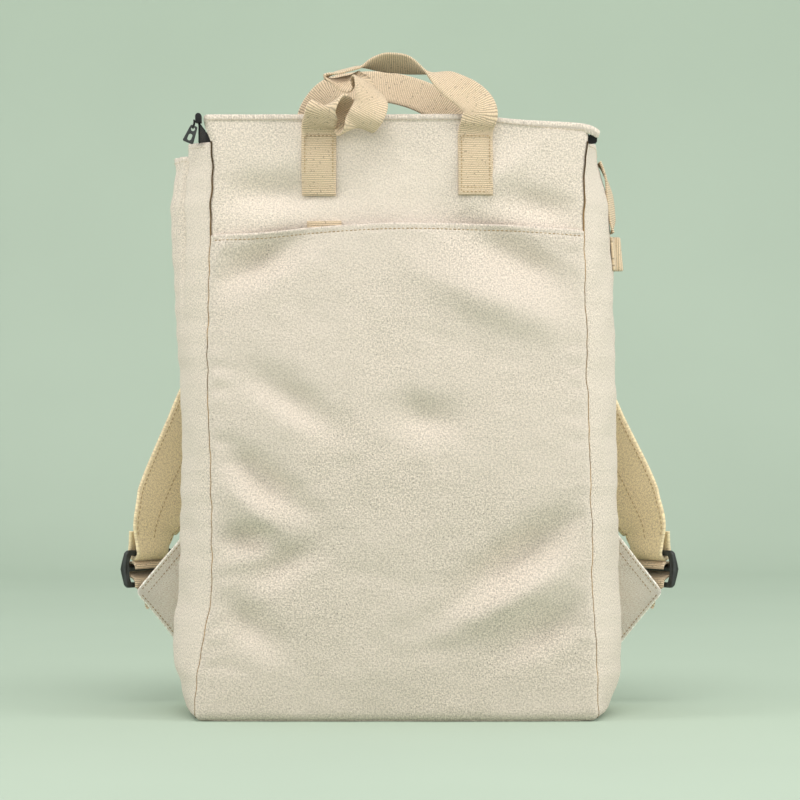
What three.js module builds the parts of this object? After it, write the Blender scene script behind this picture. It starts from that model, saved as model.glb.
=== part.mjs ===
// A convertible backpack of natural canvas: a soft open-topped box with a full-width slip pocket,
// webbing handles front, back and side, shoulder straps on ladder-lock buckles, and a black zip.
// Millimetres, +Z up. The front faces -Y, and the origin is the centre of the base on the floor.
import * as THREE from 'three';

// Driving dimensions
const CLOTH = {
  wall: 1.6, // canvas with its hem allowance
  gap: 0.3, // room between two pieces that are sewn together
};

const BAG = {
  height: 436, // floor to the top edge of the front panel
  halfWidth: 137, // centre line to a side seam
  baseDepth: 130, // front seams to back seams at the base
  gussetDrop: 21, // how far the front half of a gusset's top edge lies under the front panel's
  gussetStep: 5, // how much lower the back half of that edge lies
  swell: 26, // how far a gusset swells out past its seams
  crown: 9, // how far the front and back panels swell past their seams
  dent: 5, // depth of the deepest dent
  droop: 7.5, // how far the top edge sinks at its right end
  baseWall: 2.2, // thickness of the base panel
  baseInset: 1, // how far the base panel's edge lies inside the walls
};

const HEM = { height: 6.5, thick: 3.4, rightTip: 8, tipFall: 4 };
const POCKET = { height: 352, gape: 7.4, deepest: 60 };
const POCKET_TAB = { centre: -54, show: 4, tuck: 18, thick: 1.6 };
const WEBBING = { width: 25, thick: 1.8 };
const HANDLE = {
  halfSpan: 56.4, // half the distance between the two feet
  centre: -1.6, // place of the handle's middle across the bag
  rise: 40, // height of the front handle over the panel
  flop: 20, // how far it leans back over the mouth
  footTop: 13, // top of the sewn foot under the panel's top edge
  footLength: 46, // length of the sewn foot
};
const BACK_HANDLE = { halfSpan: 51, centre: -10, rise: 36, flop: 12 };
const SIDE_HANDLE = { drop: 10, foot: 10, length: 52, stand: 3 };
const SIDE_TAB = { below: 2, length: 27, stand: 8.5, foot: 5 };
const SIDE_PLAY = 0.2; // extra room under the side handle and loop, over the gusset's facets

const STRAP = {
  width: 52,
  endWidth: 38, // width at the buckle
  thick: 3,
  topOut: 50, // centre line of the bag to the middle of the sewn top end
  topDrop: 4, // how far its sewn top end lies under the back handle's feet
  footLength: 26,
  out: 53, // side seam to the middle of the buckle
  bow: 56, // how far the strap stands behind the back panel
  tail: 20, // length that is turned back round the buckle's top bar
};
const BUCKLE = {
  width: 48,
  bar: 4,
  slot: 8,
  rail: 4.6,
  thick: 4,
  bend: 3, // how far its middle bar stands out past the outer bars
  tooth: 1.4, // extra thickness of the middle bar
  height: 103, // floor to its middle bar
  forward: 11.5, // its place in front of the back seams
};
const LOWER_WEBBING = { width: 36, endWidth: 20, thick: 1.8, sewnAt: 0.75, flare: 0.2 };
const WING = { top: 162, bottom: 13, tip: 86, tipCut: 4, reach: 58, thick: 2.6, turn: 28 };

const TAPE = { width: 14, endWidth: 5.2, thick: 1.2, under: 0.7, pastRight: 10, turnIn: 4 };
const SLIDER = { width: 4.4, depth: 9, height: 7, forward: 0.92 };
const BAIL = { wire: 0.6, halfWidth: 2.8, drop: 6, out: 1.8 };
const PULL = {
  width: 8,
  topWidth: 5.4,
  length: 13,
  thick: 1.8,
  corner: 1.2,
  eye: 1.5, // radius of the hole that the bail goes through
  eyeEdge: 2.6, // from the middle of that hole to the top edge
  hole: 1.5, // half the width of the oblong hole
  lean: 22, // degrees that the pull leans out at its foot
};

// The shell from floor to top edge. "up" is a share of BAG.height, "left" and "right" place the side
// seams in shares of BAG.halfWidth, the swells are shares of BAG.swell, "depth" is a share of
// BAG.baseDepth and "crown" of BAG.crown.
const SECTIONS = [
  { up: 0.0, left: 1.07, right: 1.04, swellLeft: 0.3, swellRight: 0.34, depth: 0.99, crown: 0.15 },
  { up: 0.055, left: 1.055, right: 1.032, swellLeft: 0.63, swellRight: 0.75, depth: 1.01, crown: 0.45 },
  { up: 0.1, left: 1.04, right: 1.026, swellLeft: 0.95, swellRight: 0.88, depth: 1.02, crown: 0.7 },
  { up: 0.21, left: 0.98, right: 1.005, swellLeft: 1.12, swellRight: 0.94, depth: 1.02, crown: 1.0 },
  { up: 0.36, left: 0.978, right: 0.998, swellLeft: 1.04, swellRight: 0.92, depth: 1.0, crown: 0.95 },
  { up: 0.53, left: 0.998, right: 0.982, swellLeft: 0.94, swellRight: 0.96, depth: 0.95, crown: 0.8 },
  { up: 0.69, left: 0.998, right: 0.972, swellLeft: 1.1, swellRight: 0.95, depth: 0.88, crown: 0.6 },
  { up: 0.84, left: 0.988, right: 0.966, swellLeft: 1.26, swellRight: 0.84, depth: 0.81, crown: 0.35 },
  { up: 0.94, left: 0.985, right: 0.982, swellLeft: 1.18, swellRight: 0.5, depth: 0.77, crown: 0.2 },
  { up: 1.0, left: 1.04, right: 0.996, swellLeft: 1.16, swellRight: 0.44, depth: 0.74, crown: 0.1 },
];

// Dents (positive) and folds that stand out (negative) of the front. "across" is a share of the half
// width and "up" of the height, "long" and "broad" are shares of BAG.halfWidth, "turn" is in degrees
// up to the right, and "deep" is a share of BAG.dent.
const FRONT_FOLDS = [
  { across: -0.76, up: 0.752, long: 0.26, broad: 0.09, turn: 27, deep: 1.0 },
  { across: -0.57, up: 0.53, long: 0.25, broad: 0.09, turn: -35, deep: 0.5 },
  { across: -0.75, up: 0.405, long: 0.28, broad: 0.08, turn: -38, deep: 0.7 },
  { across: -0.8, up: 0.35, long: 0.22, broad: 0.07, turn: -40, deep: -0.45 },
  { across: -0.84, up: 0.3, long: 0.16, broad: 0.07, turn: 0, deep: 0.8 },
  { across: -0.63, up: 0.26, long: 0.2, broad: 0.08, turn: 28, deep: 0.5 },
  { across: -0.8, up: 0.165, long: 0.2, broad: 0.08, turn: -35, deep: 0.6 },
  { across: 0.14, up: 0.5, long: 0.16, broad: 0.1, turn: -10, deep: 0.5 },
  { across: 0.64, up: 0.76, long: 0.36, broad: 0.1, turn: -28, deep: 0.7 },
  { across: 0.5, up: 0.69, long: 0.4, broad: 0.11, turn: -22, deep: -0.5 },
  { across: 0.67, up: 0.285, long: 0.4, broad: 0.1, turn: 35, deep: 0.9 },
  { across: 0.62, up: 0.21, long: 0.36, broad: 0.09, turn: 26, deep: -0.6 },
  { across: 0.77, up: 0.155, long: 0.28, broad: 0.08, turn: 28, deep: 0.6 },
  { across: -0.7, up: 0.87, long: 0.32, broad: 0.09, turn: 0, deep: 0.6 },
  { across: 0.8, up: 0.845, long: 0.22, broad: 0.08, turn: -15, deep: 0.5 },
];

// Puckers of the gussets. "along" runs from the front seam to the back seam, "up" is a share of
// BAG.height, "long" and "broad" are shares of BAG.swell and "deep" of BAG.dent.
const LEFT_PUCKERS = [
  { along: 0.3, up: 0.58, long: 0.6, broad: 0.45, deep: 0.3 },
  { along: 0.25, up: 0.45, long: 0.6, broad: 0.45, deep: 0.3 },
  { along: 0.25, up: 0.31, long: 0.7, broad: 0.5, deep: 0.4 },
  { along: 0.3, up: 0.2, long: 0.7, broad: 0.5, deep: 0.35 },
];
const RIGHT_PUCKERS = [
  { along: 0.25, up: 0.74, long: 0.6, broad: 0.45, deep: 0.35 },
  { along: 0.3, up: 0.64, long: 0.6, broad: 0.45, deep: 0.3 },
  { along: 0.25, up: 0.47, long: 0.7, broad: 0.5, deep: 0.4 },
  { along: 0.3, up: 0.27, long: 0.7, broad: 0.5, deep: 0.35 },
];

// The front handle from its left foot round to its right foot: it curls forward once, stands up as a
// folded lobe, doubles back on itself and then arches over. "across" is a share of HANDLE.halfSpan
// from the handle's middle, "out" of HANDLE.flop behind the panel's face and "up" of HANDLE.rise over
// the panel. The last three columns point along the width of the webbing.
const FRONT_HANDLE = [
  { across: -1.0, out: -0.12, up: -0.24, wx: 1, wy: 0, wz: 0 },
  { across: -0.98, out: -0.6, up: -0.08, wx: 0.94, wy: -0.28, wz: 0.1 },
  { across: -0.94, out: -0.8, up: 0.06, wx: 0.9, wy: -0.35, wz: 0.15 },
  { across: -0.86, out: -0.62, up: 0.16, wx: 0.88, wy: -0.4, wz: 0.2 },
  { across: -0.72, out: -0.3, up: 0.02, wx: 0.85, wy: -0.45, wz: 0.2 },
  { across: -0.62, out: -0.36, up: -0.22, wx: 0.9, wy: -0.35, wz: 0.2 },
  { across: -0.5, out: -0.72, up: -0.27, wx: 0.96, wy: -0.15, wz: 0.1 },
  { across: -0.4, out: -0.92, up: -0.08, wx: 0.97, wy: 0.1, wz: 0.1 },
  { across: -0.34, out: -0.75, up: 0.17, wx: 0.95, wy: 0.3, wz: 0.05 },
  { across: -0.37, out: -0.4, up: 0.43, wx: 0.7, wy: 0.7, wz: 0.1 },
  { across: -0.47, out: 0.05, up: 0.62, wx: 0.25, wy: 0.92, wz: 0.3 },
  { across: -0.66, out: 0.3, up: 0.6, wx: 0.1, wy: 0.85, wz: 0.5 },
  { across: -0.88, out: 0.5, up: 0.5, wx: 0.0, wy: 0.9, wz: 0.4 },
  { across: -1.02, out: 0.6, up: 0.58, wx: 0.0, wy: 0.95, wz: 0.3 },
  { across: -0.88, out: 0.7, up: 0.7, wx: 0.0, wy: 0.97, wz: 0.25 },
  { across: -0.58, out: 0.75, up: 0.83, wx: 0.0, wy: 0.97, wz: 0.2 },
  { across: -0.27, out: 0.75, up: 0.93, wx: 0.0, wy: 0.99, wz: 0.0 },
  { across: 0.01, out: 0.7, up: 0.97, wx: 0.05, wy: 0.98, wz: -0.1 },
  { across: 0.35, out: 0.6, up: 0.8, wx: 0.15, wy: 0.9, wz: -0.35 },
  { across: 0.67, out: 0.4, up: 0.58, wx: 0.45, wy: 0.75, wz: -0.1 },
  { across: 0.93, out: 0.1, up: 0.34, wx: 0.85, wy: 0.4, wz: 0.1 },
  { across: 1.06, out: -0.22, up: 0.1, wx: 0.98, wy: 0.1, wz: 0.0 },
  { across: 1.03, out: -0.2, up: -0.12, wx: 1, wy: 0, wz: 0 },
];

// The back handle, a plain low arch in the same columns, with BACK_HANDLE's values
const BACK_ARCH = [
  { across: -1.0, out: -0.25, up: -0.1, wx: 1, wy: 0, wz: 0 },
  { across: -0.97, out: 0.1, up: 0.2, wx: 0.95, wy: 0, wz: 0.1 },
  { across: -0.84, out: 0.45, up: 0.55, wx: 0.75, wy: -0.35, wz: 0.5 },
  { across: -0.5, out: 0.8, up: 0.86, wx: 0.3, wy: -0.6, wz: 0.7 },
  { across: -0.05, out: 1.0, up: 0.96, wx: 0.0, wy: -0.7, wz: 0.7 },
  { across: 0.4, out: 0.9, up: 0.88, wx: -0.3, wy: -0.6, wz: 0.7 },
  { across: 0.74, out: 0.55, up: 0.62, wx: -0.75, wy: -0.35, wz: 0.5 },
  { across: 0.95, out: 0.1, up: 0.22, wx: -0.95, wy: 0, wz: 0.1 },
  { across: 1.0, out: -0.25, up: -0.1, wx: -1, wy: 0, wz: 0 },
];

// A shoulder strap from its sewn top end down to the buckle. "out" and "rightOut" are shares of
// strapReach for the left and the right strap, "back" is a share of STRAP.bow behind the back panel's
// seam, "up" a share of BAG.height, and "turn" is the strap's turn about the vertical in degrees.
const STRAP_ROWS = [
  { out: 0.29, rightOut: 0.29, back: 0.06, up: 0.765, turn: 0 },
  { out: 0.38, rightOut: 0.37, back: 0.44, up: 0.715, turn: 4 },
  { out: 0.51, rightOut: 0.49, back: 0.82, up: 0.66, turn: 10 },
  { out: 0.65, rightOut: 0.63, back: 1.0, up: 0.6, turn: 18 },
  { out: 0.77, rightOut: 0.74, back: 0.92, up: 0.54, turn: 26 },
  { out: 0.865, rightOut: 0.84, back: 0.64, up: 0.465, turn: 34 },
  { out: 0.94, rightOut: 0.925, back: 0.3, up: 0.395, turn: 42 },
  { out: 0.985, rightOut: 0.98, back: 0.04, up: 0.34, turn: 48 },
];

const BUCKLE_TURN = 50; // degrees that the buckles are turned about the vertical
const strapReach = BAG.halfWidth + STRAP.out;

const canvas = new THREE.MeshStandardMaterial({ color: 0xe0d8c6, roughness: 0.9, metalness: 0 });
const cotton = new THREE.MeshStandardMaterial({ color: 0xe4d0a6, roughness: 0.85, metalness: 0 });
const strapCloth = new THREE.MeshStandardMaterial({ color: 0xddcdaa, roughness: 0.88, metalness: 0 });
const blackTape = new THREE.MeshStandardMaterial({ color: 0x141414, roughness: 0.8, metalness: 0 });
const blackPlastic = new THREE.MeshStandardMaterial({ color: 0x17191a, roughness: 0.35, metalness: 0 });
const blackMetal = new THREE.MeshStandardMaterial({ color: 0x101010, roughness: 0.4, metalness: 0.6 });

const backpack = new THREE.Group();

function add(name, geometry, material) {
  const mesh = new THREE.Mesh(geometry, material);
  mesh.name = name;
  backpack.add(mesh);
  return mesh;
}

const mix = (a, b, share) => a + (b - a) * share;

const vector = (x, y, z) => new THREE.Vector3(x, y, z);

// A smooth line through one column of a table, read at any place of its "up" column
function column(table, key) {
  const slope = (i) => {
    const before = table[Math.max(i - 1, 0)];
    const after = table[Math.min(i + 1, table.length - 1)];
    return (after[key] - before[key]) / (after.up - before.up);
  };
  return (at) => {
    const place = Math.min(Math.max(at, table[0].up), table[table.length - 1].up);
    let i = 0;
    while (i < table.length - 2 && place > table[i + 1].up) i += 1;
    const step = table[i + 1].up - table[i].up;
    const t = (place - table[i].up) / step;
    const rise = table[i + 1][key] - table[i][key];
    const bendIn = slope(i) * step - rise;
    const bendOut = rise - slope(i + 1) * step;
    return table[i][key] + rise * t + t * (1 - t) * (bendIn * (1 - t) + bendOut * t);
  };
}

const shell = {};
for (const key of ['left', 'right', 'swellLeft', 'swellRight', 'depth', 'crown']) {
  shell[key] = column(SECTIONS, key);
}

const seamX = (side, z) => side * BAG.halfWidth * shell[side < 0 ? 'left' : 'right'](z / BAG.height);
const halfDepth = (z) => (BAG.baseDepth / 2) * shell.depth(z / BAG.height);
const acrossX = (across, z) => mix(seamX(-1, z), seamX(1, z), (across + 1) / 2);

// Depth of the folds at a place of a panel, in millimetres
function folds(table, across, z) {
  let sum = 0;
  for (const fold of table) {
    const dx = across - fold.across;
    const dz = (z - fold.up * BAG.height) / BAG.halfWidth;
    const turn = THREE.MathUtils.degToRad(fold.turn);
    const along = (dx * Math.cos(turn) + dz * Math.sin(turn)) / fold.long;
    const over = (dz * Math.cos(turn) - dx * Math.sin(turn)) / fold.broad;
    sum += fold.deep * Math.exp(-along * along - over * over);
  }
  const fade = 1 - across ** 6;
  return sum * fade * BAG.dent;
}

// Outer face of the front, at a layer under the pocket's own layer (0 the pocket, 1 the panel)
function frontFace(across, z, layer) {
  const round = 1 - across * across;
  const crown = BAG.crown * shell.crown(z / BAG.height) * round;
  const y = -halfDepth(z) - crown + folds(FRONT_FOLDS, across, z) + layer * (CLOTH.wall + CLOTH.gap);
  return new THREE.Vector3(acrossX(across, z), y, z);
}

function pocketFace(across, z) {
  const place = frontFace(across, z, 0);
  const fill = THREE.MathUtils.smoothstep(z, POCKET.deepest, POCKET.height * 0.6);
  place.y -= POCKET.gape * fill * (1 - across ** 4);
  return place;
}

function backFace(across, z) {
  const crown = BAG.crown * shell.crown(z / BAG.height) * (1 - across * across);
  return new THREE.Vector3(acrossX(across, z), halfDepth(z) + crown, z);
}

const topEdge = (across) => BAG.height - BAG.droop * THREE.MathUtils.smoothstep(across, 0.3, 1.0);
const panelTop = (across) => topEdge(across) - HEM.height - 2 * CLOTH.gap;
const wallFoot = BAG.baseWall + CLOTH.gap;

// Outer face of a gusset; "along" runs from its front seam (0) to its back seam (1)
function gussetFace(side, along, z) {
  const share = shell[side < 0 ? 'swellLeft' : 'swellRight'](z / BAG.height);
  let swell = BAG.swell * share * Math.sin(Math.PI * along) ** 0.8;
  for (const pucker of side < 0 ? LEFT_PUCKERS : RIGHT_PUCKERS) {
    const dy = ((along - pucker.along) * BAG.baseDepth) / (pucker.long * BAG.swell);
    const dz = (z - pucker.up * BAG.height) / (pucker.broad * BAG.swell);
    swell -= BAG.dent * pucker.deep * Math.exp(-dy * dy - dz * dz);
  }
  const layer = CLOTH.wall + CLOTH.gap;
  const y = mix(-halfDepth(z) + 2 * layer + CLOTH.gap / 2, halfDepth(z) - layer, along);
  return new THREE.Vector3(seamX(side, z) + side * Math.max(swell, 0), y, z);
}

const gussetHeight = BAG.height - BAG.gussetDrop;
const gussetTop = (along) => gussetHeight - BAG.gussetStep * THREE.MathUtils.smoothstep(along, 0.4, 0.5);

// A closed solid from quads given as corner indices
function solid(points, quads) {
  const geometry = new THREE.BufferGeometry();
  geometry.setFromPoints(points);
  const index = [];
  for (const [a, b, c, d] of quads) {
    index.push(a, b, c);
    index.push(a, c, d);
  }
  let volume = 0;
  for (let i = 0; i < index.length; i += 3) {
    const [a, b, c] = [points[index[i]], points[index[i + 1]], points[index[i + 2]]];
    volume += a.dot(new THREE.Vector3().crossVectors(b, c));
  }
  if (volume < 0) index.reverse();
  geometry.setIndex(index);
  geometry.computeVertexNormals();
  return geometry;
}

// A cloth wall: the face "point(u, v)" and a second face one thickness behind it, closed at the rim.
// "inward" is a fixed direction for the thickness, or the sign that turns the face's normal inwards.
function clothWall(point, columns, rows, thickness, inward) {
  const outer = [];
  const inner = [];
  const reach = 1e-3;
  for (let j = 0; j <= rows; j += 1) {
    for (let i = 0; i <= columns; i += 1) {
      const u = i / columns;
      const v = j / rows;
      const place = point(u, v);
      outer.push(place);
      if (inward.isVector3) {
        inner.push(place.clone().addScaledVector(inward, thickness));
      } else {
        const alongU = point(Math.min(u + reach, 1), v).sub(point(Math.max(u - reach, 0), v));
        const alongV = point(u, Math.min(v + reach, 1)).sub(point(u, Math.max(v - reach, 0)));
        const normal = alongU.cross(alongV).normalize();
        inner.push(place.clone().addScaledVector(normal, inward * thickness));
      }
    }
  }
  const line = columns + 1;
  const behind = outer.length;
  const quads = [];
  for (let j = 0; j < rows; j += 1) {
    for (let i = 0; i < columns; i += 1) {
      const a = j * line + i;
      quads.push([a, a + 1, a + 1 + line, a + line]);
      quads.push([behind + a, behind + a + line, behind + a + 1 + line, behind + a + 1]);
    }
  }
  const rim = [];
  for (let i = 0; i < columns; i += 1) rim.push(i);
  for (let j = 0; j < rows; j += 1) rim.push(columns + j * line);
  for (let i = columns; i > 0; i -= 1) rim.push(rows * line + i);
  for (let j = rows; j > 0; j -= 1) rim.push(j * line);
  rim.forEach((from, k) => {
    const to = rim[(k + 1) % rim.length];
    quads.push([from, behind + from, behind + to, to]);
  });
  return solid(outer.concat(inner), quads);
}

// A flat band that follows a line: each row has its middle "at", its width direction "wide" and,
// where it changes, its "width"
function band(rows, width, thickness, steps) {
  const middle = new THREE.CatmullRomCurve3(rows.map((row) => row.at));
  const wides = new THREE.CatmullRomCurve3(rows.map((row) => row.wide.clone().normalize()));
  const widths = rows.map((row) => row.width ?? width);
  const points = [];
  for (let i = 0; i <= steps; i += 1) {
    const t = i / steps;
    const at = middle.getPoint(t);
    const tangent = middle.getTangent(t);
    const wide = wides.getPoint(t);
    wide.addScaledVector(tangent, -wide.dot(tangent)).normalize();
    const deep = new THREE.Vector3().crossVectors(tangent, wide).normalize();
    const place = t * (rows.length - 1);
    const k = Math.min(Math.floor(place), rows.length - 2);
    const half = mix(widths[k], widths[k + 1], place - k) / 2;
    for (const [a, b] of [[-1, -1], [1, -1], [1, 1], [-1, 1]]) {
      points.push(at.clone().addScaledVector(wide, a * half).addScaledVector(deep, (b * thickness) / 2));
    }
  }
  const quads = [];
  for (let i = 0; i < steps; i += 1) {
    for (let k = 0; k < 4; k += 1) {
      const from = i * 4 + k;
      const to = i * 4 + ((k + 1) % 4);
      quads.push([from, to, to + 4, from + 4]);
    }
  }
  const end = steps * 4;
  quads.push([3, 2, 1, 0]);
  quads.push([end, end + 1, end + 2, end + 3]);
  return solid(points, quads);
}

function buildShell() {
  const columns = 20;
  const pocketRows = 18;
  const rowsAbove = 4;
  const share = pocketRows / (pocketRows + rowsAbove);
  add('front_panel', clothWall((u, v) => {
    const across = u * 2 - 1;
    const low = mix(wallFoot, POCKET.height, v / share);
    const high = mix(POCKET.height, panelTop(across), (v - share) / (1 - share));
    return frontFace(across, v < share ? low : high, 1);
  }, columns, pocketRows + rowsAbove, CLOTH.wall, vector(0, 1, 0)), canvas);

  add('front_pocket', clothWall((u, v) => pocketFace(u * 2 - 1, mix(wallFoot, POCKET.height, v)),
    columns, pocketRows, CLOTH.wall, vector(0, 1, 0)), canvas);

  add('back_panel', clothWall((u, v) => {
    const top = BAG.height - HEM.height - 2 * CLOTH.gap;
    return backFace(u * 2 - 1, mix(wallFoot, top, v));
  }, 14, 14, CLOTH.wall, vector(0, -1, 0)), canvas);

  for (const side of [-1, 1]) {
    add(side < 0 ? 'gusset_left' : 'gusset_right', clothWall((u, v) => {
      return gussetFace(side, u, mix(wallFoot, gussetTop(u), v));
    }, 10, 18, CLOTH.wall, -side), canvas);
  }
}

// The base panel, cut to the foot of the four walls
function buildBase() {
  const outline = [];
  const steps = 12;
  const foot = wallFoot;
  for (let i = 0; i < steps; i += 1) outline.push(frontFace((i / steps) * 2 - 1, foot, 0));
  for (let i = 0; i < steps; i += 1) outline.push(gussetFace(1, i / steps, foot));
  for (let i = 0; i < steps; i += 1) outline.push(backFace(1 - (i / steps) * 2, foot));
  for (let i = 0; i < steps; i += 1) outline.push(gussetFace(-1, 1 - i / steps, foot));
  const inset = (value) => value - Math.sign(value) * BAG.baseInset;
  const shape = new THREE.Shape(outline.map((p) => new THREE.Vector2(inset(p.x), inset(p.y))));
  add('base_panel', new THREE.ExtrudeGeometry(shape, { depth: BAG.baseWall, bevelEnabled: false }), canvas);
}

// The rolled hems: bands on edge along the tops of the front and back panels
function buildHems() {
  const inset = CLOTH.wall + CLOTH.gap + CLOTH.wall / 2;
  const rows = [];
  for (const across of [-1, -0.66, -0.33, 0, 0.33, 0.66, 1]) {
    const z = topEdge(across) - HEM.height / 2;
    const at = frontFace(across, z, 0).add(vector(0, inset, 0));
    rows.push({ at, wide: vector(0, 0, 1) });
  }
  const last = rows[rows.length - 1].at;
  rows.push({ at: last.clone().add(vector(HEM.rightTip, 0, -HEM.tipFall)), wide: vector(0.3, 0, 1) });
  add('top_hem_front', band(rows, HEM.height, HEM.thick, 28), canvas);

  const back = [-1, -0.5, 0, 0.5, 1].map((across) => {
    const z = BAG.height - HEM.height / 2;
    return { at: backFace(across, z).add(vector(0, -CLOTH.wall / 2, 0)), wide: vector(0, 0, 1) };
  });
  add('top_hem_back', band(back, HEM.height, HEM.thick, 20), canvas);
}

const acrossAt = (x, z) => (2 * (x - seamX(-1, z))) / (seamX(1, z) - seamX(-1, z)) - 1;

// A row that lies flat on a face, "stand" clear of it towards "outward" (-1 the front, 1 the back),
// with its width along the face's rise ("upright") or across it
function seatedRow(face, across, z, stand, outward, upright) {
  const reach = 6;
  const at = face(across, z);
  const shift = reach / BAG.halfWidth;
  const wide = upright
    ? face(across, z + reach).sub(face(across, z - reach))
    : face(across + shift, z).sub(face(across - shift, z));
  at.y += outward * stand;
  return { at, wide };
}

// Rows of a foot that is sewn flat to a panel, from its low end to its high end
function footRows(face, x, low, high, thickness, outward) {
  const stand = 3 * CLOTH.gap + thickness / 2;
  return [low, mix(low, high, 0.5), high].map((z) => {
    return seatedRow(face, acrossAt(x, z), z, stand, outward, false);
  });
}

function archRows(table, handle, faceY) {
  return table.map((row) => ({
    at: vector(
      handle.centre + row.across * handle.halfSpan,
      faceY + row.out * handle.flop,
      BAG.height + row.up * handle.rise,
    ),
    wide: vector(row.wx, row.wy, row.wz),
  }));
}

function buildHandles() {
  const high = BAG.height - HANDLE.footTop;
  const low = high - HANDLE.footLength;
  const panel = (across, z) => frontFace(across, z, 1);
  const feet = [-1, 1].map((side) => {
    const x = HANDLE.centre + side * HANDLE.halfSpan;
    return footRows(panel, x, low, high, WEBBING.thick, -1);
  });
  const faceY = feet[0][2].at.y;
  const front = [...feet[0], ...archRows(FRONT_HANDLE, HANDLE, faceY), ...feet[1].reverse()];
  add('handle_front', band(front, WEBBING.width, WEBBING.thick, 84), cotton);

  const backFeet = [-1, 1].map((side) => {
    const x = BACK_HANDLE.centre + side * BACK_HANDLE.halfSpan;
    const rows = footRows(backFace, x, low, high, WEBBING.thick, 1);
    rows.forEach((row) => row.wide.normalize().multiplyScalar(-side));
    return rows;
  });
  const backY = backFeet[0][2].at.y;
  const arch = archRows(BACK_ARCH, { ...BACK_HANDLE, flop: -BACK_HANDLE.flop }, backY);
  const back = [...backFeet[0], ...arch, ...backFeet[1].reverse()];
  add('handle_back', band(back, WEBBING.width, WEBBING.thick, 52), cotton);
}

function buildTabs() {
  const low = POCKET.height - POCKET_TAB.tuck;
  const high = POCKET.height + POCKET_TAB.show;
  const panel = (across, z) => frontFace(across, z, 1);
  const tab = footRows(panel, POCKET_TAB.centre, low, high, POCKET_TAB.thick, -1);
  add('pocket_tab', band(tab, WEBBING.width, POCKET_TAB.thick, 6), cotton);

  // A place over the middle of the right gusset, "stand" millimetres clear of it
  const over = (z, stand) => {
    const at = gussetFace(1, 0.5, z);
    at.x += CLOTH.gap + WEBBING.thick / 2 + stand + SIDE_PLAY;
    return { at, wide: vector(0, 1, 0) };
  };
  const side = SIDE_HANDLE;
  const top = gussetHeight - side.drop;
  const foot = top - side.length;
  add('side_handle', band([
    over(top, 0),
    over(top - side.foot, 0),
    over(mix(top, foot, 0.35), side.stand),
    over(mix(top, foot, 0.65), side.stand),
    over(foot + side.foot * 0.5, 0),
    over(foot, 0),
  ], WEBBING.width, WEBBING.thick, 24), cotton);

  const tabTop = foot - SIDE_TAB.below;
  const end = tabTop - SIDE_TAB.length;
  const bend = WEBBING.thick * 1.2;
  add('side_loop_tab', band([
    over(tabTop - SIDE_TAB.foot - bend, 0),
    over(tabTop - bend, 0),
    over(tabTop, bend),
    over(tabTop, SIDE_TAB.stand - bend),
    over(tabTop - bend, SIDE_TAB.stand),
    over(end + bend, SIDE_TAB.stand),
    over(end, SIDE_TAB.stand - bend),
    over(end, bend),
    over(end + bend, 0),
    over(end + SIDE_TAB.foot + bend, 0),
  ], WEBBING.width, WEBBING.thick, 36), cotton);
}

// Places at a buckle: "out" from the bag, "wide" to its outer edge and "up"
function buckleFrame(side) {
  const turn = THREE.MathUtils.degToRad(BUCKLE_TURN);
  return {
    origin: vector(side * strapReach, BAG.baseDepth / 2 - BUCKLE.forward, BUCKLE.height),
    wide: vector(side * Math.cos(turn), -Math.sin(turn), 0),
    out: vector(side * Math.sin(turn), Math.cos(turn), 0),
    up: vector(0, 0, 1),
  };
}

const barPitch = BUCKLE.slot + BUCKLE.bar;

// How far the curved buckle stands out at a height over its middle bar
function buckleBend(up) {
  const share = (barPitch - BUCKLE.bar / 2 - Math.abs(up)) / BUCKLE.slot;
  return BUCKLE.bend * THREE.MathUtils.clamp(share, 0, 1);
}

function atBuckle(frame, out, up) {
  const place = frame.origin.clone();
  place.addScaledVector(frame.out, out + buckleBend(up));
  return place.addScaledVector(frame.up, up);
}

// A ladder lock: a curved frame with two slots and a thicker middle bar
function buildBuckle(side) {
  const frame = buckleFrame(side);
  const halfWide = BUCKLE.width / 2;
  const halfHigh = barPitch + BUCKLE.bar / 2;
  const round = BUCKLE.bar / 2;
  const shape = new THREE.Shape();
  shape.moveTo(-halfWide + round, -halfHigh);
  shape.lineTo(halfWide - round, -halfHigh);
  shape.lineTo(halfWide, -halfHigh + round);
  shape.lineTo(halfWide, 0);
  shape.lineTo(halfWide, halfHigh - round);
  shape.lineTo(halfWide - round, halfHigh);
  shape.lineTo(-halfWide + round, halfHigh);
  shape.lineTo(-halfWide, halfHigh - round);
  shape.lineTo(-halfWide, 0);
  shape.lineTo(-halfWide, -halfHigh + round);
  for (const low of [-barPitch + BUCKLE.bar / 2, BUCKLE.bar / 2]) {
    const hole = new THREE.Path();
    const edge = halfWide - BUCKLE.rail;
    hole.moveTo(-edge, low);
    hole.lineTo(-edge, low + BUCKLE.slot);
    hole.lineTo(edge, low + BUCKLE.slot);
    hole.lineTo(edge, low);
    shape.holes.push(hole);
  }
  const geometry = new THREE.ExtrudeGeometry(shape, { depth: BUCKLE.thick, bevelEnabled: false });
  const places = geometry.getAttribute('position');
  for (let i = 0; i < places.count; i += 1) {
    const up = places.getY(i);
    const outer = places.getZ(i) > BUCKLE.thick / 2;
    const middle = Math.abs(up) <= BUCKLE.bar / 2;
    const tooth = outer && middle ? BUCKLE.tooth : 0;
    const place = atBuckle(frame, places.getZ(i) - BUCKLE.thick / 2 + tooth, up);
    place.addScaledVector(frame.wide, places.getX(i));
    places.setXYZ(i, place.x, place.y, place.z);
  }
  if (side > 0) flipFaces(geometry);
  geometry.computeVertexNormals();
  add(side < 0 ? 'buckle_left' : 'buckle_right', geometry, blackPlastic);
}

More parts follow.
